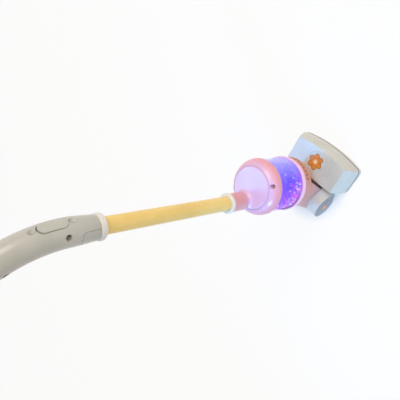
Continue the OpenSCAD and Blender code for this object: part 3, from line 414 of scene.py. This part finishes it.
def finish_parts():
    """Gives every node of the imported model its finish."""
    for material, names in FINISHES.items():
        for name in names:
            mesh = parts[name].data
            mesh.materials.clear()
            mesh.materials.append(material)


# Pieces made by geometry nodes


def new_tree(name, sizes):
    """A geometry tree with named size inputs, its input node and its output node."""
    tree = bpy.data.node_groups.new(name, "GeometryNodeTree")
    tree.interface.new_socket("Geometry", in_out="INPUT", socket_type="NodeSocketGeometry")
    tree.interface.new_socket("Geometry", in_out="OUTPUT", socket_type="NodeSocketGeometry")
    for label, kind in sizes.items():
        tree.interface.new_socket(label, in_out="INPUT", socket_type=kind)
    return tree, add(tree, "NodeGroupInput"), add(tree, "NodeGroupOutput")


def close_tree(tree, geometry, material, output):
    """Ends a tree: its instances are made real and get its material."""
    real = add(tree, "GeometryNodeRealizeInstances", None, {"Geometry": geometry})
    dressed = add(tree, "GeometryNodeSetMaterial", None,
                  {"Geometry": out(real, "Geometry"), "Material": material})
    tree.links.new(out(dressed, "Geometry"), output.inputs["Geometry"])


def grow(name, tree, values, points=()):
    """Runs a tree on a set of points and keeps the result as a plain mesh object at the origin."""
    seed = bpy.data.meshes.new(name + "_points")
    seed.from_pydata([tuple(p) for p in points], [], [])
    carrier = bpy.data.objects.new(name + "_points", seed)
    bpy.context.collection.objects.link(carrier)
    modifier = carrier.modifiers.new("tree", "NODES")
    modifier.node_group = tree
    for item in tree.interface.items_tree:
        if item.in_out == "INPUT" and item.name in values:
            modifier[item.identifier] = values[item.name]
    bpy.context.view_layer.update()
    depsgraph = bpy.context.evaluated_depsgraph_get()
    mesh = bpy.data.meshes.new_from_object(carrier.evaluated_get(depsgraph))
    carrier.modifiers.remove(modifier)
    bpy.data.objects.remove(carrier)
    mesh.name = name
    piece = bpy.data.objects.new(name, mesh)
    bpy.context.collection.objects.link(piece)
    return piece


def settle(piece, body, slot, *replaced):
    """Ties a piece to its body, and hides the nodes that it stands for. The slot is not used."""
    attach(piece, body)
    if replaced:
        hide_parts(*replaced)


# Foam beads: a loose layer on the grille, and beads that cling to the wall, most of them low on the right
BEAD_D_MM = 3.6
BEAD_GAP_MM = 0.35


def bead_tree():
    """Beads on the bin's wall and floor, thick in the heap and thin away from it."""
    pitch_in_radii = 2.05
    most_per_square_metre = 60000.0
    tree, given, output = new_tree("bead_field", {
        "Bead Radius": "NodeSocketFloat", "Wall Radius": "NodeSocketFloat",
        "Floor Height": "NodeSocketFloat", "Reach": "NodeSocketFloat", "Axis": "NodeSocketVector",
        "Heap Side": "NodeSocketVector", "Seed": "NodeSocketInt", "Material": "NodeSocketMaterial"})
    spacing = add(tree, "ShaderNodeMath", {"operation": "MULTIPLY"}, {"Value": out(given, "Bead Radius")})
    spacing.inputs[1].default_value = pitch_in_radii
    wall = add(tree, "GeometryNodeMeshCylinder", {"fill_type": "NONE", "Vertices": 96, "Side Segments": 24},
               {"Radius": out(given, "Wall Radius"), "Depth": out(given, "Reach")})
    lift = add(tree, "ShaderNodeMath", {"operation": "MULTIPLY_ADD"}, {"Value": out(given, "Reach")})
    lift.inputs[1].default_value = 0.5
    tree.links.new(out(given, "Floor Height"), lift.inputs[2])
    wall_place = add(tree, "ShaderNodeCombineXYZ", None, {"Z": out(lift, "Value")})
    raised = add(tree, "GeometryNodeTransform", None,
                 {"Geometry": out(wall, "Mesh"), "Translation": out(wall_place, "Vector")})
    height = add(tree, "ShaderNodeSeparateXYZ", None,
                 {"Vector": out(add(tree, "GeometryNodeInputPosition"), "Position")})
    above = add(tree, "ShaderNodeMath", {"operation": "SUBTRACT"}, {"Value": out(height, "Z")})
    tree.links.new(out(given, "Floor Height"), above.inputs[1])
    level = add(tree, "ShaderNodeMath", {"operation": "DIVIDE"}, {"Value": out(above, "Value")})
    tree.links.new(out(given, "Reach"), level.inputs[1])
    side = add(tree, "ShaderNodeVectorMath", {"operation": "DOT_PRODUCT"},
               {"Vector": out(add(tree, "GeometryNodeInputPosition"), "Position")})
    tree.links.new(out(given, "Heap Side"), side.inputs[1])
    lean = add(tree, "ShaderNodeMath", {"operation": "DIVIDE"}, {"Value": out(side, "Value")})
    tree.links.new(out(given, "Wall Radius"), lean.inputs[1])
    slope = add(tree, "ShaderNodeMath", {"operation": "MULTIPLY_ADD"}, {"Value": out(lean, "Value")})
    slope.inputs[1].default_value = -HEAP_LEAN
    tree.links.new(out(level, "Value"), slope.inputs[2])
    thin = add(tree, "ShaderNodeMapRange",
               {"interpolation_type": "SMOOTHSTEP", "From Min": HEAP_FULL, "From Max": HEAP_BARE,
                "To Min": 0.9, "To Max": 0.02},
               {"Value": out(slope, "Value")})
    clinging = add(tree, "GeometryNodeDistributePointsOnFaces",
                   {"distribute_method": "POISSON", "Density Max": most_per_square_metre},
                   {"Mesh": out(raised, "Geometry"), "Distance Min": out(spacing, "Value"),
                    "Density Factor": out(thin, "Result"), "Seed": out(given, "Seed")})
    inner = add(tree, "ShaderNodeMath", {"operation": "SUBTRACT"}, {"Value": out(given, "Wall Radius")})
    tree.links.new(out(spacing, "Value"), inner.inputs[1])
    across = add(tree, "ShaderNodeMath", {"operation": "MULTIPLY"}, {"Value": out(inner, "Value")})
    across.inputs[1].default_value = 2.0
    floor = add(tree, "GeometryNodeMeshGrid", {"Vertices X": 40, "Vertices Y": 40},
                {"Size X": out(across, "Value"), "Size Y": out(across, "Value")})
    floor_place = add(tree, "ShaderNodeCombineXYZ", None, {"Z": out(given, "Floor Height")})
    lowered = add(tree, "GeometryNodeTransform", None,
                  {"Geometry": out(floor, "Mesh"), "Translation": out(floor_place, "Vector")})
    lying = add(tree, "GeometryNodeDistributePointsOnFaces",
                {"distribute_method": "POISSON", "Density Max": most_per_square_metre},
                {"Mesh": out(lowered, "Geometry"), "Distance Min": out(spacing, "Value"),
                 "Density Factor": out(thin, "Result"), "Seed": out(given, "Seed")})
    level_place = add(tree, "ShaderNodeVectorMath", {"operation": "MULTIPLY"},
                      {"Vector": out(add(tree, "GeometryNodeInputPosition"), "Position")})
    level_place.inputs[1].default_value = (1, 1, 0)
    off_axis = add(tree, "ShaderNodeVectorMath", {"operation": "LENGTH"},
                   {"Vector": out(level_place, "Vector")})
    outside = add(tree, "ShaderNodeMath", {"operation": "GREATER_THAN"}, {"Value": out(off_axis, "Value")})
    tree.links.new(out(inner, "Value"), outside.inputs[1])
    kept = add(tree, "GeometryNodeDeleteGeometry", {"domain": "POINT"},
               {"Geometry": out(lying, "Points"), "Selection": out(outside, "Value")})
    spots = add(tree, "GeometryNodeJoinGeometry", None, {"Geometry": out(clinging, "Points")})
    tree.links.new(out(kept, "Geometry"), spots.inputs["Geometry"])
    bead = add(tree, "GeometryNodeMeshIcoSphere", {"Subdivisions": 3},
               {"Radius": out(given, "Bead Radius")})
    round_bead = add(tree, "GeometryNodeSetShadeSmooth", None, {"Geometry": out(bead, "Mesh")})
    size = add(tree, "FunctionNodeRandomValue",
               {"data_type": "FLOAT", "Min": 0.82, "Max": 1.0, "Seed": 5})
    beads = add(tree, "GeometryNodeInstanceOnPoints", None,
                {"Points": out(spots, "Geometry"), "Instance": out(round_bead, "Geometry"),
                 "Scale": out(size, "Value")})
    tint = add(tree, "FunctionNodeRandomValue",
               {"data_type": "FLOAT", "Min": 0.0, "Max": 1.0, "Seed": 11})
    tinted = add(tree, "GeometryNodeStoreNamedAttribute",
                 {"data_type": "FLOAT", "domain": "INSTANCE", "Name": BEAD_TINT},
                 {"Geometry": out(beads, "Instances"), "Value": out(tint, "Value")})
    centred = add(tree, "GeometryNodeTransform", None,
                  {"Geometry": out(tinted, "Geometry"), "Translation": out(given, "Axis")})
    close_tree(tree, out(centred, "Geometry"), out(given, "Material"), output)
    return tree


def make_beads():
    """Puts single beads in the bin, in place of the plain solids."""
    low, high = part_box("dust_bin")
    axis = (low + high) / 2
    solid_low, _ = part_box("foam_beads")
    bin_wall_mm = 1.8
    bead_r = BEAD_D_MM / 2 * MM
    wall_r = (high.x - low.x) / 2 - (bin_wall_mm + BEAD_GAP_MM) * MM - bead_r
    beads = grow("foam_bead_field", bead_tree(), {
        "Bead Radius": bead_r, "Wall Radius": wall_r, "Floor Height": solid_low.z + bead_r,
        "Reach": BEAD_REACH_MM * MM, "Axis": (axis.x, axis.y, 0.0), "Heap Side": HEAP_SIDE, "Seed": 7,
        "Material": FOAM})
    settle(beads, "wand", "foam", "foam_beads")


# Screws: pan heads with a cross recess, in place of the plain ones


def screw_tree():
    """Screws that stand on points, their heads along one way. The recess is half as deep as the head is
    high, and its length and width are shares of the head's radius."""
    recess_length = 1.1
    recess_width = 0.26
    tree, given, output = new_tree("cross_screws", {
        "Head Radius": "NodeSocketFloat", "Head Height": "NodeSocketFloat",
        "Shank Radius": "NodeSocketFloat", "Shank Length": "NodeSocketFloat", "Way": "NodeSocketVector",
        "Material": "NodeSocketMaterial"})
    head = add(tree, "GeometryNodeMeshCylinder", {"Vertices": 40},
               {"Radius": out(given, "Head Radius"), "Depth": out(given, "Head Height")})
    half = add(tree, "ShaderNodeMath", {"operation": "MULTIPLY"}, {"Value": out(given, "Head Height")})
    half.inputs[1].default_value = 0.5
    up = add(tree, "ShaderNodeCombineXYZ", None, {"Z": out(half, "Value")})
    raised = add(tree, "GeometryNodeTransform", None,
                 {"Geometry": out(head, "Mesh"), "Translation": out(up, "Vector")})
    length = add(tree, "ShaderNodeMath", {"operation": "MULTIPLY"}, {"Value": out(given, "Head Radius")})
    length.inputs[1].default_value = recess_length
    width = add(tree, "ShaderNodeMath", {"operation": "MULTIPLY"}, {"Value": out(given, "Head Radius")})
    width.inputs[1].default_value = recess_width
    top = add(tree, "ShaderNodeCombineXYZ", None, {"Z": out(given, "Head Height")})
    cut = None
    for long_axis, short_axis in (("X", "Y"), ("Y", "X")):
        shape = add(tree, "ShaderNodeCombineXYZ", None,
                    {long_axis: out(length, "Value"), short_axis: out(width, "Value"),
                     "Z": out(given, "Head Height")})
        blade = add(tree, "GeometryNodeMeshCube", None, {"Size": out(shape, "Vector")})
        sunk = add(tree, "GeometryNodeTransform", None,
                   {"Geometry": out(blade, "Mesh"), "Translation": out(top, "Vector")})
        cut = add(tree, "GeometryNodeMeshBoolean", {"operation": "DIFFERENCE"},
                  {"Mesh 1": out(raised, "Geometry") if cut is None else out(cut, "Mesh"),
                   "Mesh 2": out(sunk, "Geometry")})
    shank = add(tree, "GeometryNodeMeshCylinder", {"Vertices": 24},
                {"Radius": out(given, "Shank Radius"), "Depth": out(given, "Shank Length")})
    down = add(tree, "ShaderNodeMath", {"operation": "MULTIPLY"}, {"Value": out(given, "Shank Length")})
    down.inputs[1].default_value = -0.5
    drop = add(tree, "ShaderNodeCombineXYZ", None, {"Z": out(down, "Value")})
    lowered = add(tree, "GeometryNodeTransform", None,
                  {"Geometry": out(shank, "Mesh"), "Translation": out(drop, "Vector")})
    screw = add(tree, "GeometryNodeJoinGeometry", None, {"Geometry": out(cut, "Mesh")})
    tree.links.new(out(lowered, "Geometry"), screw.inputs["Geometry"])
    spots = add(tree, "GeometryNodeMeshToPoints", None, {"Mesh": out(given, "Geometry")})
    turn = add(tree, "FunctionNodeAlignRotationToVector", {"axis": "Z"}, {"Vector": out(given, "Way")})
    placed = add(tree, "GeometryNodeInstanceOnPoints", None,
                 {"Points": out(spots, "Points"), "Instance": out(screw, "Geometry"),
                  "Rotation": out(turn, "Rotation")})
    close_tree(tree, out(placed, "Instances"), out(given, "Material"), output)
    return tree


# Every screw's head, its shank, which is a hair slimmer than the solid's, and the lean of the battery door
SCREW_HEAD_R_MM = 2.6
SCREW_HEAD_H_MM = 1.8
SCREW_SHANK_R_MM = 1.05
DOOR_LEAN_DEG = 17.27


def islands(name, upright):
    """Boxes of the separate solids of a node, as (low, high) pairs, after a turn that stands it upright.
    Corners that meet to a hundredth of a millimetre count as one."""
    mesh = parts[name].data
    places = {}
    spots = {}
    for vertex in mesh.vertices:
        key = tuple(round(c / MM, 2) for c in vertex.co)
        spots[vertex.index] = places.setdefault(key, len(places))
    group = list(range(len(places)))

    def root(i):
        while group[i] != i:
            group[i] = group[group[i]]
            i = group[i]
        return i

    for face in mesh.polygons:
        ids = [root(spots[v]) for v in face.vertices]
        for other in ids[1:]:
            group[root(other)] = root(ids[0])
    boxes = {}
    for key, index in places.items():
        point = upright @ Vector(key) * MM
        low, high = boxes.get(root(index), (point, point))
        boxes[root(index)] = (Vector(map(min, low, point)), Vector(map(max, high, point)))
    return list(boxes.values())


def make_screws():
    """Puts a screw with a recess in each plain one's place, with its head where that one's is."""
    tree = screw_tree()
    door_lean = math.radians(DOOR_LEAN_DEG)
    # The handle's screws take the dark steel of painted shade, for the shadow in their deep holes
    sets = {"handle_screws": ("wand", (0, -1, 0), HOLE_SHADE_STEEL),
            "cap_screws": ("wand", (0, 0, 1), STEEL),
            "door_screw": ("wand", (-math.cos(door_lean), 0, math.sin(door_lean)), STEEL),
            "yoke_screws": ("head", (0, 0, -1), STEEL),
            "head_screws": ("head", (0, 0, -1), STEEL)}
    for name, (body, way, metal) in sets.items():
        way = Vector(way)
        turn = way.to_track_quat("Z", "Y")
        boxes = islands(name, turn.inverted())
        feet = [turn @ Vector(((low.x + high.x) / 2, (low.y + high.y) / 2, high.z - SCREW_HEAD_H_MM * MM))
                for low, high in boxes]
        length = boxes[0][1].z - boxes[0][0].z
        piece = grow("cross_" + name, tree, {
            "Head Radius": SCREW_HEAD_R_MM * MM, "Head Height": SCREW_HEAD_H_MM * MM,
            "Shank Radius": SCREW_SHANK_R_MM * MM, "Shank Length": length - SCREW_HEAD_H_MM * MM,
            "Way": way, "Material": metal}, feet)
        settle(piece, body, "steel", name)


# Printed trim: flowers on the badge and the pivot caps, and a row of leaves along the collar's front

# A film's thickness, how far it sinks into what it lies on, and the flowers' scales
FILM_MM = 0.2
FILM_SINK_MM = 0.06
BADGE_FLOWER_SCALE = 1.22
PIVOT_FLOWER_SCALE = 0.6


def film_disc(tree, given):
    """A thin round film, stretched to a length and a width and lifted off its carrier's face."""
    disc = add(tree, "GeometryNodeMeshCylinder", {"Vertices": 32, "Radius": 0.5, "Depth": 1.0})
    shape = add(tree, "ShaderNodeCombineXYZ", None,
                {"X": out(given, "Length"), "Y": out(given, "Width"), "Z": out(given, "Film")})
    rise = add(tree, "ShaderNodeCombineXYZ", None, {"Z": out(given, "Lift")})
    return add(tree, "GeometryNodeTransform", None,
               {"Geometry": out(disc, "Mesh"), "Scale": out(shape, "Vector"),
                "Translation": out(rise, "Vector")})


# Inputs that the flower's and the garland's trees share
FILM_SIZES = {"Count": "NodeSocketInt", "Length": "NodeSocketFloat", "Width": "NodeSocketFloat",
              "Film": "NodeSocketFloat", "Lift": "NodeSocketFloat", "Ring Radius": "NodeSocketFloat",
              "Place": "NodeSocketVector", "Material": "NodeSocketMaterial"}


def spokes(tree, first, step):
    """The cosine and the sine of each film's angle, from a first angle and a step."""
    angle = add(tree, "ShaderNodeMath", {"operation": "MULTIPLY_ADD"},
                {"Value": out(add(tree, "GeometryNodeInputIndex"), "Index")})
    tree.links.new(step, angle.inputs[1])
    tree.links.new(first, angle.inputs[2])
    east = add(tree, "ShaderNodeMath", {"operation": "COSINE"}, {"Value": out(angle, "Value")})
    north = add(tree, "ShaderNodeMath", {"operation": "SINE"}, {"Value": out(angle, "Value")})
    return out(east, "Value"), out(north, "Value")


def flower_tree():
    """Films round a ring that faces one way, the first of them a quarter of a step round."""
    tree, given, output = new_tree("printed_flower", {**FILM_SIZES, "Way": "NodeSocketVector"})
    step = add(tree, "ShaderNodeMath", {"operation": "DIVIDE"})
    step.inputs[0].default_value = math.tau
    tree.links.new(out(given, "Count"), step.inputs[1])
    start = add(tree, "ShaderNodeMath", {"operation": "MULTIPLY"}, {"Value": out(step, "Value")})
    start.inputs[1].default_value = 0.25
    east, north = spokes(tree, out(start, "Value"), out(step, "Value"))
    spoke = add(tree, "ShaderNodeCombineXYZ", None, {"X": east, "Y": north})
    spot = add(tree, "ShaderNodeVectorMath", {"operation": "SCALE"},
               {"Vector": out(spoke, "Vector"), "Scale": out(given, "Ring Radius")})
    spots = add(tree, "GeometryNodePoints", None,
                {"Count": out(given, "Count"), "Position": out(spot, "Vector")})
    outward = add(tree, "FunctionNodeAlignRotationToVector", {"axis": "X"},
                  {"Vector": out(spoke, "Vector")})
    petals = add(tree, "GeometryNodeInstanceOnPoints", None,
                 {"Points": spots.outputs[0], "Instance": out(film_disc(tree, given), "Geometry"),
                  "Rotation": out(outward, "Rotation")})
    turn = add(tree, "FunctionNodeAlignRotationToVector", {"axis": "Z"}, {"Vector": out(given, "Way")})
    placed = add(tree, "GeometryNodeTransform", None,
                 {"Geometry": out(petals, "Instances"), "Translation": out(given, "Place"),
                  "Rotation": out(turn, "Rotation")})
    close_tree(tree, out(placed, "Geometry"), out(given, "Material"), output)
    return tree


def garland_tree():
    """Films along an arc, facing out from its axis and tilted to and fro by turns."""
    tree, given, output = new_tree("printed_garland", {
        **FILM_SIZES, "First Angle": "NodeSocketFloat", "Step Angle": "NodeSocketFloat",
        "Tilt": "NodeSocketFloat"})
    east, north = spokes(tree, out(given, "First Angle"), out(given, "Step Angle"))
    spoke = add(tree, "ShaderNodeCombineXYZ", None, {"X": east, "Y": north})
    west = add(tree, "ShaderNodeMath", {"operation": "MULTIPLY"}, {"Value": north})
    west.inputs[1].default_value = -1.0
    along = add(tree, "ShaderNodeCombineXYZ", None, {"X": out(west, "Value"), "Y": east})
    spot = add(tree, "ShaderNodeVectorMath", {"operation": "SCALE"},
               {"Vector": out(spoke, "Vector"), "Scale": out(given, "Ring Radius")})
    spots = add(tree, "GeometryNodePoints", None,
                {"Count": out(given, "Count"), "Position": out(spot, "Vector")})
    level = add(tree, "FunctionNodeAlignRotationToVector", {"axis": "X"}, {"Vector": out(along, "Vector")})
    facing = add(tree, "FunctionNodeAlignRotationToVector", {"axis": "Z", "pivot_axis": "X"},
                 {"Rotation": out(level, "Rotation"), "Vector": out(spoke, "Vector")})
    # Even films tilt one way and odd ones the other
    parity = add(tree, "ShaderNodeMath", {"operation": "MODULO"},
                 {"Value": out(add(tree, "GeometryNodeInputIndex"), "Index")})
    parity.inputs[1].default_value = 2.0
    sign = add(tree, "ShaderNodeMath", {"operation": "MULTIPLY_ADD"}, {"Value": out(parity, "Value")})
    sign.inputs[1].default_value = -2.0
    sign.inputs[2].default_value = 1.0
    slant = add(tree, "ShaderNodeMath", {"operation": "MULTIPLY"}, {"Value": out(sign, "Value")})
    tree.links.new(out(given, "Tilt"), slant.inputs[1])
    spin = add(tree, "FunctionNodeAxisAngleToRotation", {"Axis": (0, 0, 1)}, {"Angle": out(slant, "Value")})
    tilted = add(tree, "FunctionNodeRotateRotation", {"rotation_space": "LOCAL"},
                 {"Rotation": out(facing, "Rotation"), "Rotate By": out(spin, "Rotation")})
    leaves = add(tree, "GeometryNodeInstanceOnPoints", None,
                 {"Points": spots.outputs[0], "Instance": out(film_disc(tree, given), "Geometry"),
                  "Rotation": out(tilted, "Rotation")})
    placed = add(tree, "GeometryNodeTransform", None,
                 {"Geometry": out(leaves, "Instances"), "Translation": out(given, "Place")})
    close_tree(tree, out(placed, "Geometry"), out(given, "Material"), output)
    return tree


def make_flower(name, tree, place, way, body, scale):
    """A six-petalled flower in three films: brown outline, orange petals and cream heart. Each film has a
    count of discs, the radius of their ring, and a disc's length and width, in mm before the scale."""
    layers = [("outline", INK_BROWN, "dark_plastic", 6, 6.4, 9.6, 7.4),
              ("petals", INK_ORANGE, "yellow_plastic", 6, 6.4, 8.2, 6.0),
              ("heart", INK_CREAM, "cream_plastic", 1, 0.0, 6.0, 6.0)]
    for i, (label, ink, slot, count, ring, length, width) in enumerate(layers):
        lift = (FILM_MM / 2 - FILM_SINK_MM + i * (FILM_MM - FILM_SINK_MM)) * MM
        piece = grow(f"{name}_{label}", tree, {
            "Count": count, "Length": length * scale * MM, "Width": width * scale * MM,
            "Film": FILM_MM * MM, "Lift": lift, "Ring Radius": ring * scale * MM, "Place": place,
            "Way": way, "Material": ink})
        settle(piece, body, slot)


def make_trim():
    """Lays the flowers on the badge and the pivot caps, and the row of leaves and dots round the collar."""
    tree = flower_tree()
    low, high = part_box("cover_badge")
    middle = (low + high) / 2
    make_flower("badge_flower", tree, (middle.x, middle.y, high.z), (0, 0, 1), "head", BADGE_FLOWER_SCALE)
    for side, name in ((-1, "pivot_cap_right"), (1, "pivot_cap_left")):
        low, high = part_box(name)
        middle = (low + high) / 2
        face = low.y if side < 0 else high.y
        make_flower(name + "_flower", tree, (middle.x, face, middle.z), (0, side, 0), "head",
                    PIVOT_FLOWER_SCALE)
    low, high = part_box("dust_bin")
    middle = (low + high) / 2
    row = garland_tree()
    _, collar_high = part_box("lower_housing")
    row_drop_mm = 11.5
    steps_to_middle = 5
    step = math.radians(9)
    # Leaves, and a dot between each two: count, shift in steps, length and width in mm, tilt in radians
    sets = [("collar_leaves", INK_BROWN, "dark_plastic", 11, 0.0, 6.4, 2.4, 0.9),
            ("collar_dots", INK_ORANGE, "yellow_plastic", 10, 0.5, 2.4, 2.4, 0.0)]
    for name, ink, slot, count, shift, length, width, tilt in sets:
        piece = grow(name, row, {
            "Count": count, "Length": length * MM, "Width": width * MM, "Film": FILM_MM * MM,
            "Lift": (FILM_MM / 2 - FILM_SINK_MM) * MM, "Ring Radius": (high.x - low.x) / 2,
            "Place": (middle.x, middle.y, collar_high.z - row_drop_mm * MM),
            "First Angle": (shift - steps_to_middle) * step, "Step Angle": step, "Tilt": tilt,
            "Material": ink})
        settle(piece, "wand", slot)


# Studio: a white floor, white air and three soft lamps


def lamp(name, place, aim, size, watts, colour, spread_deg=180):
    """A round area lamp at a place, turned towards its aim."""
    data = bpy.data.lights.new(name, "AREA")
    data.shape = "DISK"
    data.size = size
    data.energy = watts
    data.spread = math.radians(spread_deg)
    data.color = linear(colour)[:3]
    light = bpy.data.objects.new(name, data)
    bpy.context.collection.objects.link(light)
    light.location = place
    light.rotation_euler = (Vector(aim) - Vector(place)).to_track_quat("-Z", "Y").to_euler()
    return light


def seen_rays(tree):
    """One for rays that come from the camera, straight or through gloss and clear plastic."""
    rays = add(tree, "ShaderNodeLightPath")
    first = add(tree, "ShaderNodeMath", {"operation": "MAXIMUM"}, {"Value": out(rays, "Is Camera Ray")})
    tree.links.new(out(rays, "Is Glossy Ray"), first.inputs[1])
    both = add(tree, "ShaderNodeMath", {"operation": "MAXIMUM"}, {"Value": out(first, "Value")})
    tree.links.new(out(rays, "Is Transmission Ray"), both.inputs[1])
    return out(both, "Value")


def set_floor():
    """White paper that stays bright where the camera sees it, apart from the shade round the hinge, and
    that can be seen through from below."""
    half = 7
    drop_mm = 0.2
    white_share = 0.88
    shade_middle_mm = (12, 0, 0)
    shade_full_mm = 35
    shade_end_mm = 65
    mesh = bpy.data.meshes.new("studio_floor")
    corners = [(-half, -half, 0), (half, -half, 0), (half, half, 0), (-half, half, 0)]
    mesh.from_pydata(corners, [], [(0, 1, 2, 3)])
    floor = bpy.data.objects.new("studio_floor", mesh)
    bpy.context.collection.objects.link(floor)
    floor.location.z = -drop_mm * MM
    material, tree, output = new_material("studio_white_paper")
    paper = add(tree, "ShaderNodeBsdfDiffuse", {"Color": linear("#F4F3F1")})
    white = add(tree, "ShaderNodeEmission", {"Strength": 1.0})
    place = out(add(tree, "ShaderNodeTexCoord"), "Object")
    away = add(tree, "ShaderNodeVectorMath", {"operation": "DISTANCE"}, {"Vector": place})
    away.inputs[1].default_value = [c * MM for c in shade_middle_mm]
    bright = add(tree, "ShaderNodeMapRange",
                 {"From Min": shade_full_mm * MM, "From Max": shade_end_mm * MM, "To Max": white_share},
                 {"Value": out(away, "Value")})
    share = add(tree, "ShaderNodeMath", {"operation": "MULTIPLY"}, {"Value": seen_rays(tree)})
    tree.links.new(out(bright, "Result"), share.inputs[1])
    blend = add(tree, "ShaderNodeMixShader", None, {"Fac": out(share, "Value")})
    tree.links.new(out(paper, "BSDF"), blend.inputs[1])
    tree.links.new(out(white, "Emission"), blend.inputs[2])
    under = add(tree, "ShaderNodeMixShader", None,
                {"Fac": out(add(tree, "ShaderNodeNewGeometry"), "Backfacing")})
    tree.links.new(out(blend, "Shader"), under.inputs[1])
    tree.links.new(out(add(tree, "ShaderNodeBsdfTransparent"), "BSDF"), under.inputs[2])
    tree.links.new(out(under, "Shader"), output.inputs["Surface"])
    mesh.materials.append(material)


def set_air():
    """A white backdrop for the camera, and a dimmer, warmer fill light from all round."""
    world = bpy.data.worlds.new("studio_air")
    world.use_nodes = True
    bpy.context.scene.world = world
    tree = world.node_tree
    tree.nodes.clear()
    fill = add(tree, "ShaderNodeBackground", {"Color": linear("#F6F4F2"), "Strength": 0.67})
    backdrop = add(tree, "ShaderNodeBackground", {"Color": linear("#FFFFFF"), "Strength": 1.0})
    blend = add(tree, "ShaderNodeMixShader", None, {"Fac": seen_rays(tree)})
    tree.links.new(out(fill, "Background"), blend.inputs[1])
    tree.links.new(out(backdrop, "Background"), blend.inputs[2])
    tree.links.new(out(blend, "Shader"), add(tree, "ShaderNodeOutputWorld").inputs["Surface"])


def set_lamps():
    """A key lamp high in front, a blue window at the back left that shows only as gloss, and a weak blue
    lamp at the back right. Places and sizes are in metres."""
    lamp("key_above", (1.9, 0.2, 2.4), (0.0, 0.0, 0.25), 1.8, 36.0, "#FFFAF2")
    window = lamp("window_left", (-0.41, 0.59, 1.12), (0.06, 0.03, 0.04), 0.5, 5.5, "#40AAFF")
    window.visible_diffuse = False
    lamp("blue_right", (-0.4, -0.85, 0.5), (0.03, -0.05, 0.02), 0.35, 0.6, "#54B2FF", 40)


bpy.context.scene.view_settings.view_transform = "Standard"
set_camera()
set_floor()
set_air()
set_lamps()
finish_parts()
make_beads()
make_screws()
make_trim()
